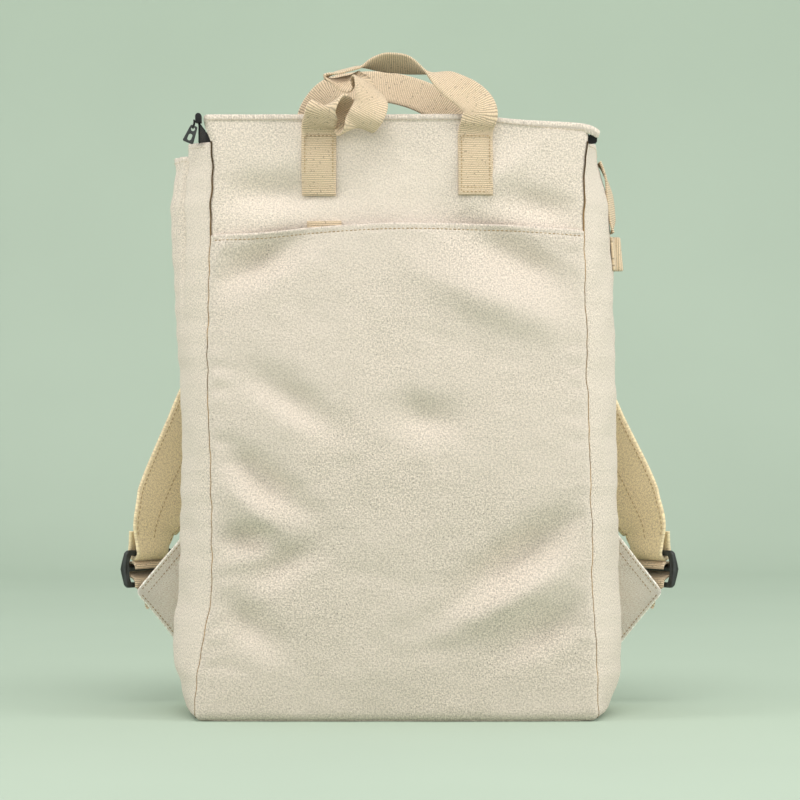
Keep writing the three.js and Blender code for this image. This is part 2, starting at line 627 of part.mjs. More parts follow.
// Turns the faces of a shape round, after it was mirrored into place
function flipFaces(geometry) {
  for (const name of Object.keys(geometry.attributes)) {
    const values = geometry.getAttribute(name);
    const size = values.itemSize;
    const list = values.array;
    for (let i = 0; i < list.length; i += 3 * size) {
      for (let k = 0; k < size; k += 1) {
        [list[i + size + k], list[i + 2 * size + k]] = [list[i + 2 * size + k], list[i + size + k]];
      }
    }
  }
}

const barCorner = Math.hypot(BUCKLE.bar, BUCKLE.thick) / 2;

// A shoulder strap: sewn flat to the back panel, bowed out behind it, and turned back round the
// buckle's top bar
function buildStrap(side) {
  const frame = buckleFrame(side);
  const high = BAG.height - HANDLE.footTop - HANDLE.footLength - STRAP.topDrop;
  const low = high - STRAP.footLength;
  const rows = footRows(backFace, side * STRAP.topOut, low, high, STRAP.thick, 1).reverse();
  rows.forEach((row) => row.wide.multiplyScalar(side));
  for (const row of STRAP_ROWS) {
    const turn = THREE.MathUtils.degToRad(row.turn);
    const z = row.up * BAG.height;
    const out = side < 0 ? row.out : row.rightOut;
    rows.push({
      at: vector(side * out * strapReach, BAG.baseDepth / 2 + row.back * STRAP.bow, z),
      wide: vector(side * Math.cos(turn), -Math.sin(turn), 0),
      width: STRAP.width,
    });
  }
  const round = barCorner + CLOTH.gap + STRAP.thick / 2;
  const ends = [
    [-round, barPitch + STRAP.tail],
    [-round, barPitch + STRAP.tail * 0.4],
    [-round, barPitch],
    [-round * 0.7, barPitch - round * 0.7],
    [0, barPitch - round],
    [round * 0.7, barPitch - round * 0.7],
    [round, barPitch],
    [round * 0.8, barPitch + STRAP.tail * 0.4],
    [round * 0.4, barPitch + STRAP.tail],
  ];
  for (const [out, up] of ends) {
    const at = frame.origin.clone().addScaledVector(frame.out, out).addScaledVector(frame.up, up);
    rows.push({ at, wide: frame.wide.clone(), width: STRAP.endWidth });
  }
  const name = side < 0 ? 'strap_left' : 'strap_right';
  add(name, band(rows, STRAP.width, STRAP.thick, 64), strapCloth);
}

// A place on the wing: "share" runs from the back seam (0) to the tip (1)
function wingPlace(side, share, z, behind) {
  const turn = THREE.MathUtils.degToRad(WING.turn);
  const rootX = Math.abs(seamX(side, z)) + 2 * CLOTH.gap;
  const rootY = halfDepth(z) - CLOTH.wall + CLOTH.gap;
  const tipX = BAG.halfWidth + WING.reach;
  const x = mix(rootX, tipX, share);
  const y = rootY - (x - rootX) * Math.tan(turn);
  return vector(side * (x + behind * Math.sin(turn)), y + behind * Math.cos(turn), z);
}

// The wing: a doubled canvas triangle, sewn into the back side seam, that holds the lower webbing
function buildWing(side) {
  const edge = (share, low) => {
    const root = low ? WING.bottom : WING.top;
    const tip = WING.tip + (low ? -1 : 1) * (WING.tipCut / 2);
    return mix(root, tip, share);
  };
  const face = (u, v) => wingPlace(side, u, mix(edge(u, true), edge(u, false), v), 0);
  const name = side < 0 ? 'wing_left' : 'wing_right';
  add(name, clothWall(face, 6, 4, WING.thick, -side), canvas);
}

// The lower webbing: from behind the wing's tip up through the buckle, round its middle bar, and
// back in through the upper slot as a short tail
function buildLowerWebbing(side) {
  const frame = buckleFrame(side);
  const stand = WING.thick + CLOTH.gap + LOWER_WEBBING.thick;
  const round = barCorner + CLOTH.gap + LOWER_WEBBING.thick / 2;
  const turn = THREE.MathUtils.degToRad(WING.turn);
  const wingWide = vector(side * Math.cos(turn), -Math.sin(turn), 0);
  const sewn = wingPlace(side, LOWER_WEBBING.sewnAt, WING.tip - barPitch, stand);
  const midWidth = mix(LOWER_WEBBING.endWidth, LOWER_WEBBING.width, LOWER_WEBBING.flare);
  const rows = [
    { at: sewn, wide: wingWide, width: LOWER_WEBBING.endWidth },
    { at: atBuckle(frame, -round * 1.2, -barPitch * 1.35), wide: frame.wide.clone(), width: midWidth },
  ];
  const ends = [
    [-round, -barPitch * 1.1],
    [-round, -barPitch * 0.9],
    [-round * 0.6, -barPitch * 0.65],
    [round * 0.2, -barPitch * 0.5],
  ];
  const over = Math.hypot(BUCKLE.bar, BUCKLE.thick + BUCKLE.tooth) / 2 + CLOTH.gap + LOWER_WEBBING.thick / 2;
  for (const angle of [-55, -20, 20, 55, 90]) {
    const turned = THREE.MathUtils.degToRad(angle);
    ends.push([BUCKLE.tooth / 2 + over * Math.cos(turned), over * Math.sin(turned)]);
  }
  ends.push([-round, over], [-round * 1.6, over * 0.6], [-round * 1.8, 0]);
  for (const [out, up] of ends) {
    const at = frame.origin.clone().addScaledVector(frame.up, up);
    const bend = Math.abs(up) < barPitch / 2 ? BUCKLE.bend : 0;
    at.addScaledVector(frame.out, out + bend);
    rows.push({ at, wide: frame.wide.clone(), width: LOWER_WEBBING.width });
  }
  const name = side < 0 ? 'strap_webbing_left' : 'strap_webbing_right';
  add(name, band(rows, LOWER_WEBBING.width, LOWER_WEBBING.thick, 54), cotton);
}

const sliderX = () => seamX(-1, BAG.height) - CLOTH.gap - SLIDER.width / 2;
const sliderY = () => -halfDepth(BAG.height) * SLIDER.forward;
const crossTop = gussetHeight + TAPE.width + 2 * CLOTH.gap;

// The two zip tapes: one along the inside of the front panel, one along the back panel and then
// across the left end of the mouth to the slider
function buildZip() {
  const under = HEM.height + 2 * CLOTH.gap;
  const middle = under + TAPE.width / 2;
  const stand = CLOTH.wall + TAPE.under + TAPE.thick / 2;
  const panel = (across, z) => frontFace(across, z, 1);
  const front = [-0.97, -0.6, -0.2, 0.2, 0.6, 0.9].map((across) => {
    return seatedRow(panel, across, topEdge(across) - middle, -stand, -1, true);
  });
  const end = panel(1, topEdge(1) - under - TAPE.endWidth / 2 - CLOTH.gap);
  end.y += stand + TAPE.thick;
  for (const past of [-0.2, 0.45, 1]) {
    const at = end.clone();
    at.x += past * TAPE.pastRight;
    front.push({ at, wide: vector(0, 0, 1), width: TAPE.endWidth });
  }
  add('zip_tape_front', band(front, TAPE.width, TAPE.thick, 24), blackTape);

  const back = [0.97, 0.5, 0, -0.45, -0.75].map((across) => {
    return seatedRow(backFace, across, BAG.height - middle, -stand, 1, true);
  });
  back.push(seatedRow(backFace, -0.9, BAG.height - middle, -stand - TAPE.turnIn, 1, true));
  const depth = halfDepth(BAG.height);
  for (const share of [0.55, 0.2, -0.3, -0.9]) {
    const at = vector(sliderX(), depth * share, crossTop - TAPE.width / 2);
    back.push({ at, wide: vector(0, 0, 1) });
  }
  add('zip_tape_back', band(back, TAPE.width, TAPE.thick, 40), blackTape);
}

// The slider on the end of the tapes, rounded over its top
function buildSlider() {
  const half = SLIDER.width / 2;
  const shape = new THREE.Shape();
  shape.moveTo(-half, 0);
  shape.lineTo(half, 0);
  shape.lineTo(half, SLIDER.height - half);
  shape.absarc(0, SLIDER.height - half, half, 0, Math.PI, false);
  const options = { depth: SLIDER.depth, bevelEnabled: false, curveSegments: 6 };
  const body = new THREE.ExtrudeGeometry(shape, options);
  body.rotateX(Math.PI / 2);
  body.translate(sliderX(), sliderY() + SLIDER.depth / 2, crossTop + CLOTH.gap);
  add('zip_slider', body, blackMetal);
}

// The wire bail that hangs from the slider's side, and the pull with an oblong hole that hangs on it
function buildPull() {
  const x = sliderX() - SLIDER.width / 2;
  const y = sliderY();
  const high = crossTop + SLIDER.height * 0.35;
  const low = high - BAIL.drop;
  const arm = BAIL.halfWidth;
  const path = new THREE.CatmullRomCurve3([
    vector(x - BAIL.wire - CLOTH.gap, y + arm, high),
    vector(x - BAIL.wire - CLOTH.gap, y + arm, mix(high, low, 0.4)),
    vector(x - BAIL.out, y + arm * 0.7, mix(high, low, 0.85)),
    vector(x - BAIL.out, y, low),
    vector(x - BAIL.out, y - arm * 0.7, mix(high, low, 0.85)),
    vector(x - BAIL.wire - CLOTH.gap, y - arm, mix(high, low, 0.4)),
    vector(x - BAIL.wire - CLOTH.gap, y - arm, high),
  ]);
  const round = new THREE.Shape();
  round.absarc(0, 0, BAIL.wire, 0, 2 * Math.PI, false);
  const wire = new THREE.ExtrudeGeometry(round, { steps: 12, curveSegments: 3, extrudePath: path });
  add('zip_bail', wire, blackMetal);

  const plate = new THREE.Shape();
  const top = PULL.eyeEdge;
  const bottom = top - PULL.length;
  const halfTop = PULL.topWidth / 2;
  const halfLow = PULL.width / 2;
  const corner = PULL.corner;
  plate.moveTo(-halfLow + corner, bottom);
  plate.lineTo(halfLow - corner, bottom);
  plate.quadraticCurveTo(halfLow, bottom, halfLow, bottom + corner);
  plate.lineTo(halfTop, top - corner);
  plate.quadraticCurveTo(halfTop, top, halfTop - corner, top);
  plate.lineTo(-halfTop + corner, top);
  plate.quadraticCurveTo(-halfTop, top, -halfTop, top - corner);
  plate.lineTo(-halfLow, bottom + corner);
  plate.quadraticCurveTo(-halfLow, bottom, -halfLow + corner, bottom);
  const eye = new THREE.Path();
  eye.absarc(0, 0, PULL.eye, 0, 2 * Math.PI, true);
  const oblong = new THREE.Path();
  const holeTop = -PULL.eye - 1.4 * PULL.eyeEdge + PULL.hole;
  oblong.absarc(0, holeTop - PULL.hole, PULL.hole, 0, Math.PI, false);
  oblong.absarc(0, bottom + 2.2 * PULL.hole, PULL.hole, Math.PI, 2 * Math.PI, false);
  plate.holes.push(eye, oblong);
  const options = { depth: PULL.thick, bevelEnabled: false, curveSegments: 5 };
  const pull = new THREE.ExtrudeGeometry(plate, options);
  pull.translate(0, 0, -PULL.thick / 2);
  pull.rotateX(Math.PI / 2);
  pull.rotateY(THREE.MathUtils.degToRad(PULL.lean));
  pull.translate(x - BAIL.out, y, low - (PULL.eye - BAIL.wire - CLOTH.gap));
  add('zip_pull', pull, blackPlastic);
}

buildShell();
buildBase();
buildHems();
buildHandles();
buildTabs();
for (const side of [-1, 1]) {
  buildBuckle(side);
  buildStrap(side);
  buildWing(side);
  buildLowerWebbing(side);
}
buildZip();
buildSlider();
buildPull();

export default backpack;
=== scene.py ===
"""A convertible backpack of natural canvas, standing open on a pale studio floor."""
import math
from collections import namedtuple

import bpy
import numpy as np
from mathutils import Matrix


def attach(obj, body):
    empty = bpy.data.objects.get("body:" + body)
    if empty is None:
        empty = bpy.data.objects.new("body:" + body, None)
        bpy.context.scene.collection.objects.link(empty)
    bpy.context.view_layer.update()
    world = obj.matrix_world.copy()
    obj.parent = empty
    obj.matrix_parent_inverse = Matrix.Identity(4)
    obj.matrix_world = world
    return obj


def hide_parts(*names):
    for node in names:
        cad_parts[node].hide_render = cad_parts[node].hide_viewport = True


bl_info = {
    "name": "Canvas Backpack",
    "version": (1, 0, 0),
    "blender": (4, 5, 0),
    "location": "View3D > Sidebar > Backpack",
    "description": "Dresses a canvas backpack with its weave, seams, webbing and hardware",
    "category": "Object",
}

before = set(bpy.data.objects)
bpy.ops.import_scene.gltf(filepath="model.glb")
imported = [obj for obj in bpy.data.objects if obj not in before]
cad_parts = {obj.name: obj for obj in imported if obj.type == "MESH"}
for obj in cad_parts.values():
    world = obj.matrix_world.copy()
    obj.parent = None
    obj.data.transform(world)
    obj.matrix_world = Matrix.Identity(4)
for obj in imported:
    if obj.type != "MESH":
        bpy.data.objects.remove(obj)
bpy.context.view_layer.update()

MM = 0.001
UP = np.array([0.0, 0.0, 1.0])
SIDES = ((-1, "left"), (1, "right"))
WALL = 1.6
GAP = 0.3
LAYER = WALL + GAP
HEIGHT = 436.0
HALF_WIDTH = 137.0
BASE_DEPTH = 130.0
GUSSET_HEIGHT = 415.0
GUSSET_STEP = 5.0
SWELL = 26.0
CROWN = 9.0
DENT = 5.0
DROOP = 7.5
HEM_HEIGHT = 6.5
HEM_THICK = 3.4
POCKET_HEIGHT = 352.0
POCKET_GAPE = 7.4
POCKET_DEEPEST = 60.0
POCKET_HEM = 9.0
POCKET_STITCH = 3.4  # the pocket's stitch row under its top edge
HEM_START = 0.9  # share of the pocket's rows under its hem
WEBBING = 25.0
WEBBING_THICK = 1.8
FLOOR_ROUND = 7.0  # radius of the turned-in bottom edge
SEAM_TURN = 1.8  # how far the front turns in at its side seams
FLOOR_NARROW = 0.8  # how much of that turn the walls' width follows
FOOT_HEIGHT = 0.9  # where the walls' cloth starts over the floor
CALM_TOP = (4, 24)  # distance under the top edge over which the small waves fade in
STITCH_PITCH = 3.4

# The shell from floor to top edge: side seams in shares of HALF_WIDTH, swells in shares of SWELL,
# depth in shares of BASE_DEPTH and crown in shares of CROWN
Section = namedtuple("Section", "up left right swell_left swell_right depth crown")
SECTIONS = [
    Section(0.0, 1.07, 1.04, 0.3, 0.34, 0.99, 0.15),
    Section(0.055, 1.055, 1.032, 0.63, 0.75, 1.01, 0.45),
    Section(0.1, 1.04, 1.026, 0.95, 0.88, 1.02, 0.7),
    Section(0.21, 0.98, 1.005, 1.12, 0.94, 1.02, 1.0),
    Section(0.36, 0.978, 0.998, 1.04, 0.92, 1.0, 0.95),
    Section(0.53, 0.998, 0.982, 0.94, 0.96, 0.95, 0.8),
    Section(0.69, 0.998, 0.972, 1.1, 0.95, 0.88, 0.6),
    Section(0.84, 0.988, 0.966, 1.26, 0.84, 0.81, 0.35),
    Section(0.94, 0.985, 0.982, 1.18, 0.5, 0.77, 0.2),
    Section(1.0, 1.04, 0.996, 1.16, 0.44, 0.74, 0.1),
]

# Broad dents (positive) and ridges (negative) of the front, as in the solids
Fold = namedtuple("Fold", "across up long broad turn deep")
FOLD_BOOST = 3.5  # how much deeper the cloth's dents are than those of the plain solids
FRONT_FOLDS = [
    Fold(-0.76, 0.752, 0.26, 0.09, 27, 1.0),
    Fold(-0.57, 0.53, 0.25, 0.09, -35, 0.5),
    Fold(-0.75, 0.405, 0.28, 0.08, -38, 0.7),
    Fold(-0.8, 0.35, 0.22, 0.07, -40, -0.45),
    Fold(-0.84, 0.3, 0.16, 0.07, 0, 0.8),
    Fold(-0.63, 0.26, 0.2, 0.08, 28, 0.5),
    Fold(-0.8, 0.165, 0.2, 0.08, -35, 0.6),
    Fold(0.14, 0.5, 0.16, 0.1, -10, 0.5),
    Fold(0.64, 0.76, 0.36, 0.1, -28, 0.7),
    Fold(0.5, 0.69, 0.4, 0.11, -22, -0.5),
    Fold(0.67, 0.285, 0.4, 0.1, 35, 0.9),
    Fold(0.62, 0.21, 0.36, 0.09, 26, -0.6),
    Fold(0.77, 0.155, 0.28, 0.08, 28, 0.6),
    Fold(-0.7, 0.87, 0.32, 0.09, 0, 0.6),
    Fold(0.8, 0.845, 0.22, 0.08, -15, 0.5),
]

# Smaller folds that only the cloth itself shows
FINE_FOLDS = [
    Fold(-0.93, 0.58, 0.1, 0.03, -15, 0.25),
    Fold(-0.93, 0.545, 0.09, 0.03, 10, 0.2),
    Fold(-0.92, 0.46, 0.1, 0.03, -10, 0.25),
    Fold(-0.92, 0.42, 0.1, 0.03, 8, 0.3),
    Fold(-0.9, 0.24, 0.12, 0.035, 15, 0.3),
    Fold(-0.88, 0.09, 0.12, 0.035, -12, 0.3),
    Fold(0.94, 0.62, 0.08, 0.03, 12, 0.25),
    Fold(0.93, 0.5, 0.09, 0.03, -10, 0.22),
    Fold(0.93, 0.4, 0.1, 0.03, 14, 0.25),
    Fold(0.92, 0.33, 0.1, 0.03, 30, 0.28),
    Fold(0.9, 0.1, 0.12, 0.04, 20, 0.3),
    Fold(0.3, 0.62, 0.3, 0.05, -18, 0.12),
    Fold(-0.25, 0.42, 0.3, 0.05, 22, 0.12),
    Fold(-0.1, 0.24, 0.35, 0.06, -12, 0.14),
    Fold(0.2, 0.12, 0.35, 0.06, 10, 0.16),
    Fold(-0.945, 0.768, 0.1, 0.02, 70, -1.3),
    Fold(0.55, 0.9, 0.3, 0.06, 38, -0.35),
    Fold(-0.6, 0.5, 0.28, 0.07, -32, -0.25),
    Fold(0.35, 0.22, 0.45, 0.07, 20, -0.2),
]

# How far the pocket's top edge lies over or under its middle height
PocketEdge = namedtuple("PocketEdge", "across rise")
POCKET_EDGE = [
    PocketEdge(-1.0, -4.0),
    PocketEdge(-0.75, -3.0),
    PocketEdge(-0.45, 0.8),
    PocketEdge(0.0, 4.0),
    PocketEdge(0.55, 2.8),
    PocketEdge(0.85, 0.6),
    PocketEdge(1.0, -0.8),
]
POCKET_TAB_X = -54.0

# Puckers of the gussets in shares of BASE_DEPTH along, HEIGHT up, SWELL and DENT
Pucker = namedtuple("Pucker", "along up long broad deep")
LEFT_PUCKERS = [
    Pucker(0.3, 0.58, 0.6, 0.45, 0.3),
    Pucker(0.25, 0.45, 0.6, 0.45, 0.3),
    Pucker(0.25, 0.31, 0.7, 0.5, 0.4),
    Pucker(0.3, 0.2, 0.7, 0.5, 0.35),
]
RIGHT_PUCKERS = [
    Pucker(0.25, 0.74, 0.6, 0.45, 0.35),
    Pucker(0.3, 0.64, 0.6, 0.45, 0.3),
    Pucker(0.25, 0.47, 0.7, 0.5, 0.4),
    Pucker(0.3, 0.27, 0.7, 0.5, 0.35),
]

# Upright creases of the left gusset's folded front part, and the right gusset's drawn-in top
Crease = namedtuple("Crease", "along deep")
LEFT_CREASES = [Crease(0.235, 5.5), Crease(0.36, 3.0)]
CREASE_BROAD = 0.03
CREASE_HEIGHTS = (265, 385)
TUCK_SHARE = 0.22
TUCK_HEIGHTS = (385, 415)

# A row of a webbing path: its place in shares of the handle's span, flop and rise, and its width
Turn = namedtuple("Turn", "across out up wx wy wz")
FRONT_HANDLE = [
    Turn(-1.0, -0.15, -0.24, 1, 0, -0.05),
    Turn(-0.98, -0.45, -0.16, 0.97, -0.08, -0.2),
    Turn(-0.95, -0.72, -0.03, 0.93, -0.2, 0.0),
    Turn(-0.9, -0.78, 0.08, 0.88, -0.35, 0.3),
    Turn(-0.8, -0.55, 0.16, 0.8, -0.42, 0.42),
    Turn(-0.7, -0.28, 0.04, 0.82, -0.45, 0.33),
    Turn(-0.62, -0.32, -0.18, 0.9, -0.35, 0.2),
    Turn(-0.5, -0.72, -0.27, 0.96, -0.15, 0.1),
    Turn(-0.4, -0.96, -0.1, 0.97, 0.1, 0.05),
    Turn(-0.33, -0.8, 0.14, 0.96, 0.28, 0.0),
    Turn(-0.36, -0.42, 0.4, 0.68, 0.73, 0.0),
    Turn(-0.45, 0.02, 0.6, 0.16, 0.98, 0.1),
    Turn(-0.56, 0.2, 0.59, 0.06, 0.75, 0.66),
    Turn(-0.74, 0.5, 0.63, 0.0, 0.92, 0.34),
    Turn(-0.9, 0.62, 0.67, 0.0, 1.0, 0.05),
    Turn(-0.93, 0.62, 0.695, 0.0, 1.0, 0.0),
    Turn(-0.9, 0.62, 0.72, 0.0, 1.0, 0.03),
    Turn(-0.74, 0.66, 0.785, 0.0, 0.98, 0.18),
    Turn(-0.5, 0.75, 0.88, 0.0, 0.98, 0.16),
    Turn(-0.3, 0.75, 0.94, 0.0, 0.96, -0.25),
    Turn(-0.12, 0.73, 0.96, 0.02, 0.88, -0.47),
    Turn(0.1, 0.7, 0.93, 0.05, 0.88, -0.47),
    Turn(0.38, 0.6, 0.79, 0.12, 0.98, 0.02),
    Turn(0.6, 0.45, 0.64, 0.28, 0.72, 0.62),
    Turn(0.76, 0.28, 0.49, 0.45, 0.5, 0.74),
    Turn(0.92, 0.08, 0.33, 0.7, 0.3, 0.62),
    Turn(1.03, -0.12, 0.15, 0.92, 0.15, 0.3),
    Turn(1.06, -0.24, -0.02, 1, 0.02, 0.05),
    Turn(1.03, -0.2, -0.16, 1, 0, 0),
]
BACK_ARCH = [
    Turn(-1.01, -0.25, -0.12, 1, 0, 0),
    Turn(-1.08, 0.1, 0.16, 0.92, 0, -0.38),
    Turn(-0.98, 0.4, 0.46, 0.82, -0.1, -0.56),
    Turn(-0.82, 0.6, 0.68, 0.55, -0.2, -0.8),
    Turn(-0.52, 0.8, 0.8, 0.22, -0.3, -0.93),
    Turn(-0.05, 0.9, 0.82, -0.05, -0.3, -0.95),
    Turn(0.32, 0.85, 0.72, -0.25, -0.28, -0.93),
    Turn(0.62, 0.7, 0.56, -0.42, -0.2, -0.88),
    Turn(0.88, 0.4, 0.34, -0.7, -0.1, -0.7),
    Turn(1.0, 0.1, 0.1, -0.94, 0, -0.3),
    Turn(1.0, -0.25, -0.12, -1, 0, 0),
]
Handle = namedtuple("Handle", "half_span centre rise flop")
FRONT_GRIP = Handle(56.4, -1.6, 40.0, 20.0)
BACK_GRIP = Handle(51.0, -10.0, 36.0, -12.0)
FOOT_TOP = 13.0
FOOT_LENGTH = 46.0
FOOT_STAND = 3 * GAP  # gap between a foot and the panel it is sewn to

# The loop on the right gusset, seen from above: places along the gusset and how far it stands out
SIDE_LOOP = [(10, 0), (5, 0), (2.5, 1), (2, 2.6), (1.6, 4), (0, 5), (-1.6, 4), (-2, 2.6),
             (-2.5, 1), (-5, 0), (-10, 0)]
LOOP_HEIGHT = 337.5
LOOP_SPREAD = 105.0  # depth that the loop's places are shares of
SIDE_HANDLE_TOP = 405.0
SIDE_HANDLE_FOOT = 353.0

# The shoulder straps, from the sewn top end to the buckle
StrapRow = namedtuple("StrapRow", "out right_out back up turn")
STRAP_ROWS = [
    StrapRow(0.29, 0.29, 0.06, 0.765, 0),
    StrapRow(0.38, 0.37, 0.44, 0.715, 4),
    StrapRow(0.51, 0.49, 0.82, 0.66, 10),
    StrapRow(0.64, 0.62, 0.92, 0.6, 18),
    StrapRow(0.753, 0.723, 0.7, 0.54, 26),
    StrapRow(0.832, 0.807, 0.42, 0.465, 34),
    StrapRow(0.903, 0.889, 0.14, 0.395, 41),
    StrapRow(0.952, 0.946, -0.1, 0.34, 46),
]
STRAP_WIDTH = 52.0
STRAP_THICK = 3.0
STRAP_TOP_OUT = 50.0
STRAP_TOP = 373.0
STRAP_FOOT = 26.0
STRAP_REACH = 190.0
STRAP_BOW = 56.0
STRAP_TAIL = 20.0
BUCKLE_TURN = 50.0
BUCKLE_HEIGHT = 103.0
BUCKLE_BEHIND = 53.5
BUCKLE_BAR = 4.0
BUCKLE_SLOT = 8.0
BUCKLE_THICK = 4.0
BUCKLE_TOOTH = 1.4
BUCKLE_BEND = 3.0
BAR_PITCH = BUCKLE_SLOT + BUCKLE_BAR
LOWER_WIDTH = 36.0
LOWER_END = 20.0
Wing = namedtuple("Wing", "top bottom tip tip_cut reach thick turn")
WING = Wing(162.0, 13.0, 86.0, 4.0, 58.0, 2.6, 28.0)


def length(name, description, default, low, high):
    return bpy.props.FloatProperty(
        name=name, description=description, default=default * MM, min=low * MM, max=high * MM,
        subtype="DISTANCE", unit="LENGTH", precision=5)


def shade(name, description, default):
    return bpy.props.FloatVectorProperty(
        name=name, description=description, default=default, size=3, min=0, max=1, subtype="COLOR")


class BackpackSizes(bpy.types.PropertyGroup):
    """Sizes that only the dressing has"""

    thread_pitch: length("Thread pitch", "Distance between two threads of the canvas", 0.8, 0.3, 3)
    rib_pitch: length("Rib pitch", "Distance between two ribs of the webbing", 1.35, 0.5, 4)
    stitch_pitch: length("Stitch pitch", "Distance from one stitch to the next", STITCH_PITCH, 1.5, 8)
    stitch_thick: length("Thread thickness", "Thickness of the sewing thread", 0.62, 0.2, 2)
    crumple: length("Crumple", "Depth of the canvas's small uneven waves", 0.46, 0, 2)


class BackpackColours(bpy.types.PropertyGroup):
    """Colours of the cloths and the stage"""

    canvas: shade("Canvas", "Natural undyed cotton canvas", (0.74, 0.655, 0.56))
    webbing: shade("Webbing", "Cream cotton webbing", (0.7, 0.56, 0.39))
    strap: shade("Strap", "Heavy cotton of the shoulder straps", (0.72, 0.585, 0.375))
    # The seam colour is painted shade: the dark line in the side seams' grooves
    seam: shade("Seam", "Brown line of the side seams", (0.3, 0.18, 0.07))
    floor: shade("Backdrop", "Pale green studio paper", (0.445, 0.535, 0.435))


def sizes():
    return bpy.context.scene.backpack_sizes


def colours():
    return bpy.context.scene.backpack_colours


def smoothstep(at, low, high):
    share = np.clip((np.asarray(at, float) - low) / (high - low), 0, 1)
    return share * share * (3 - 2 * share)


def mix(a, b, share):
    return a + (b - a) * share


def unit(rows):
    return rows / np.linalg.norm(rows, axis=-1, keepdims=True)


def run_along(path):
    """Distance run at each point of a path"""
    return np.concatenate([[0], np.cumsum(np.linalg.norm(np.diff(path, axis=0), axis=1))])


def read_rows(rows, run, place):
    """A row of three numbers read at any place of the run"""
    return np.array([np.interp(place, run, rows[:, axis]) for axis in range(3)])


def ring_faces(rings, sides, base=0):
    """Faces between stacked rings of points, with both ends closed"""
    faces = []
    for i in range(rings - 1):
        start, end = base + i * sides, base + (i + 1) * sides
        for k in range(sides):
            after = (k + 1) % sides
            faces.append((start + k, start + after, end + after, end + k))
    last = base + (rings - 1) * sides
    faces.append(tuple(range(base, base + sides))[::-1])
    faces.append(tuple(range(last, last + sides)))
    return faces


def column(table, key):
    """A smooth line through one column of a table, read at any place of its first column"""
    knots = np.array([row[0] for row in table], float)
    values = np.array([getattr(row, key) for row in table], float)
    last = len(knots) - 1
    before = np.maximum(np.arange(last + 1) - 1, 0)
    after = np.minimum(np.arange(last + 1) + 1, last)
    slope = (values[after] - values[before]) / (knots[after] - knots[before])

    def read(at):
        place = np.clip(np.asarray(at, float), knots[0], knots[-1])
        i = np.clip(np.searchsorted(knots, place, side="left") - 1, 0, last - 1)
        step = knots[i + 1] - knots[i]
        t = (place - knots[i]) / step
        rise = values[i + 1] - values[i]
        bend_in = slope[i] * step - rise
        bend_out = rise - slope[i + 1] * step
        return values[i] + rise * t + t * (1 - t) * (bend_in * (1 - t) + bend_out * t)

    return read


SHELL = {key: column(SECTIONS, key) for key in Section._fields[1:]}
POCKET_RISE = column(POCKET_EDGE, "rise")


def waves(a, b, longest, seed, count=14):
    """Small uneven waves about 1 high: sines of many directions, the shorter the lower"""
    pick = np.random.RandomState(seed)
    total = np.zeros(np.broadcast(a, b).shape)
    for _ in range(count):
        length = longest * pick.uniform(0.22, 1.0)
        turn = pick.uniform(0, math.pi)
        phase = pick.uniform(0, 2 * math.pi)
        turned = (a * math.cos(turn) + b * math.sin(turn)) * (2 * math.pi / length)
        total = total + (length / longest) * np.sin(turned + phase)
    return total / math.sqrt(count / 2)


def seam_x(side, z):
    """A side seam; it wanders a little where the cloth is gathered into it"""
    wander = 0.55 * waves(z, np.zeros(np.shape(z)), 34, 61 + side, 7)
    return side * (HALF_WIDTH * SHELL["left" if side < 0 else "right"](z / HEIGHT) + wander)


def half_depth(z):
    return (BASE_DEPTH / 2) * SHELL["depth"](z / HEIGHT)


def across_x(across, z):
    return mix(seam_x(-1, z), seam_x(1, z), (across + 1) / 2)


def across_at(x, z):
    return (2 * (x - seam_x(-1, z))) / (seam_x(1, z) - seam_x(-1, z)) - 1


def folds(table, across, z):
    """Depth of a table's folds; they fade out towards the side seams"""
    total = np.zeros(np.broadcast(across, z).shape)
    for fold in table:
        dx = across - fold.across
        dz = (z - fold.up * HEIGHT) / HALF_WIDTH
        turn = math.radians(fold.turn)
        along = (dx * math.cos(turn) + dz * math.sin(turn)) / fold.long
        over = (dz * math.cos(turn) - dx * math.sin(turn)) / fold.broad
        total = total + fold.deep * np.exp(-along * along - over * over)
    return total * (1 - across ** 6) * DENT


def relief(across, z):
    """The cloth's own small folds on the front, one for the pocket and the panel behind it"""
    x = across * HALF_WIDTH
    crumple = sizes().crumple / MM
    soft = waves(x, z, 70, 11) * crumple + waves(x, z, 26, 12) * crumple * 0.35
    edge = np.exp(-((1 - np.abs(across)) / 0.06) ** 2)
    pucker = edge * (1 - edge) * 2.2 * waves(z, z * 0, 17, 13, 8)
    calm = smoothstep(HEIGHT - z, *CALM_TOP)
    return 1.3 * folds(FINE_FOLDS, across, z) + (soft * (1 - across ** 8) + pucker * 0.6) * calm


def crown_at(across, z):
    return CROWN * SHELL["crown"](z / HEIGHT) * (1 - across * across)


def floor_inset(z):
    """How far the turned-in bottom edge lies inside the walls"""
    low = np.clip((FLOOR_ROUND - z) / FLOOR_ROUND, 0, 1)
    return FLOOR_ROUND * (1 - np.sqrt(1 - low * low))


def turned_in_x(across, z):
    return across_x(across, z) * (1 - floor_inset(z) / HALF_WIDTH * FLOOR_NARROW)


def place_of(x, y, z):
    x, y, z = np.broadcast_arrays(x, y, z)
    return np.stack([x, y, z], axis=-1).astype(float)


def folded_front(across, z):
    return -half_depth(z) - crown_at(across, z) + FOLD_BOOST * folds(FRONT_FOLDS, across, z)


def front_face(across, z, layer):
    """Outer face of the front at a layer: 0 the pocket, 1 the panel behind it"""
    y = folded_front(across, z) + relief(across, z) + layer * LAYER
    turned = SEAM_TURN * smoothstep(np.abs(across), 0.975, 1.0) ** 2
    return place_of(turned_in_x(across, z), y + turned + floor_inset(z), z)


def calm_front(across, z):
    """The front panel's face without its small folds; what is sewn on it follows this"""
    return place_of(across_x(across, z), folded_front(across, z) + LAYER, z)


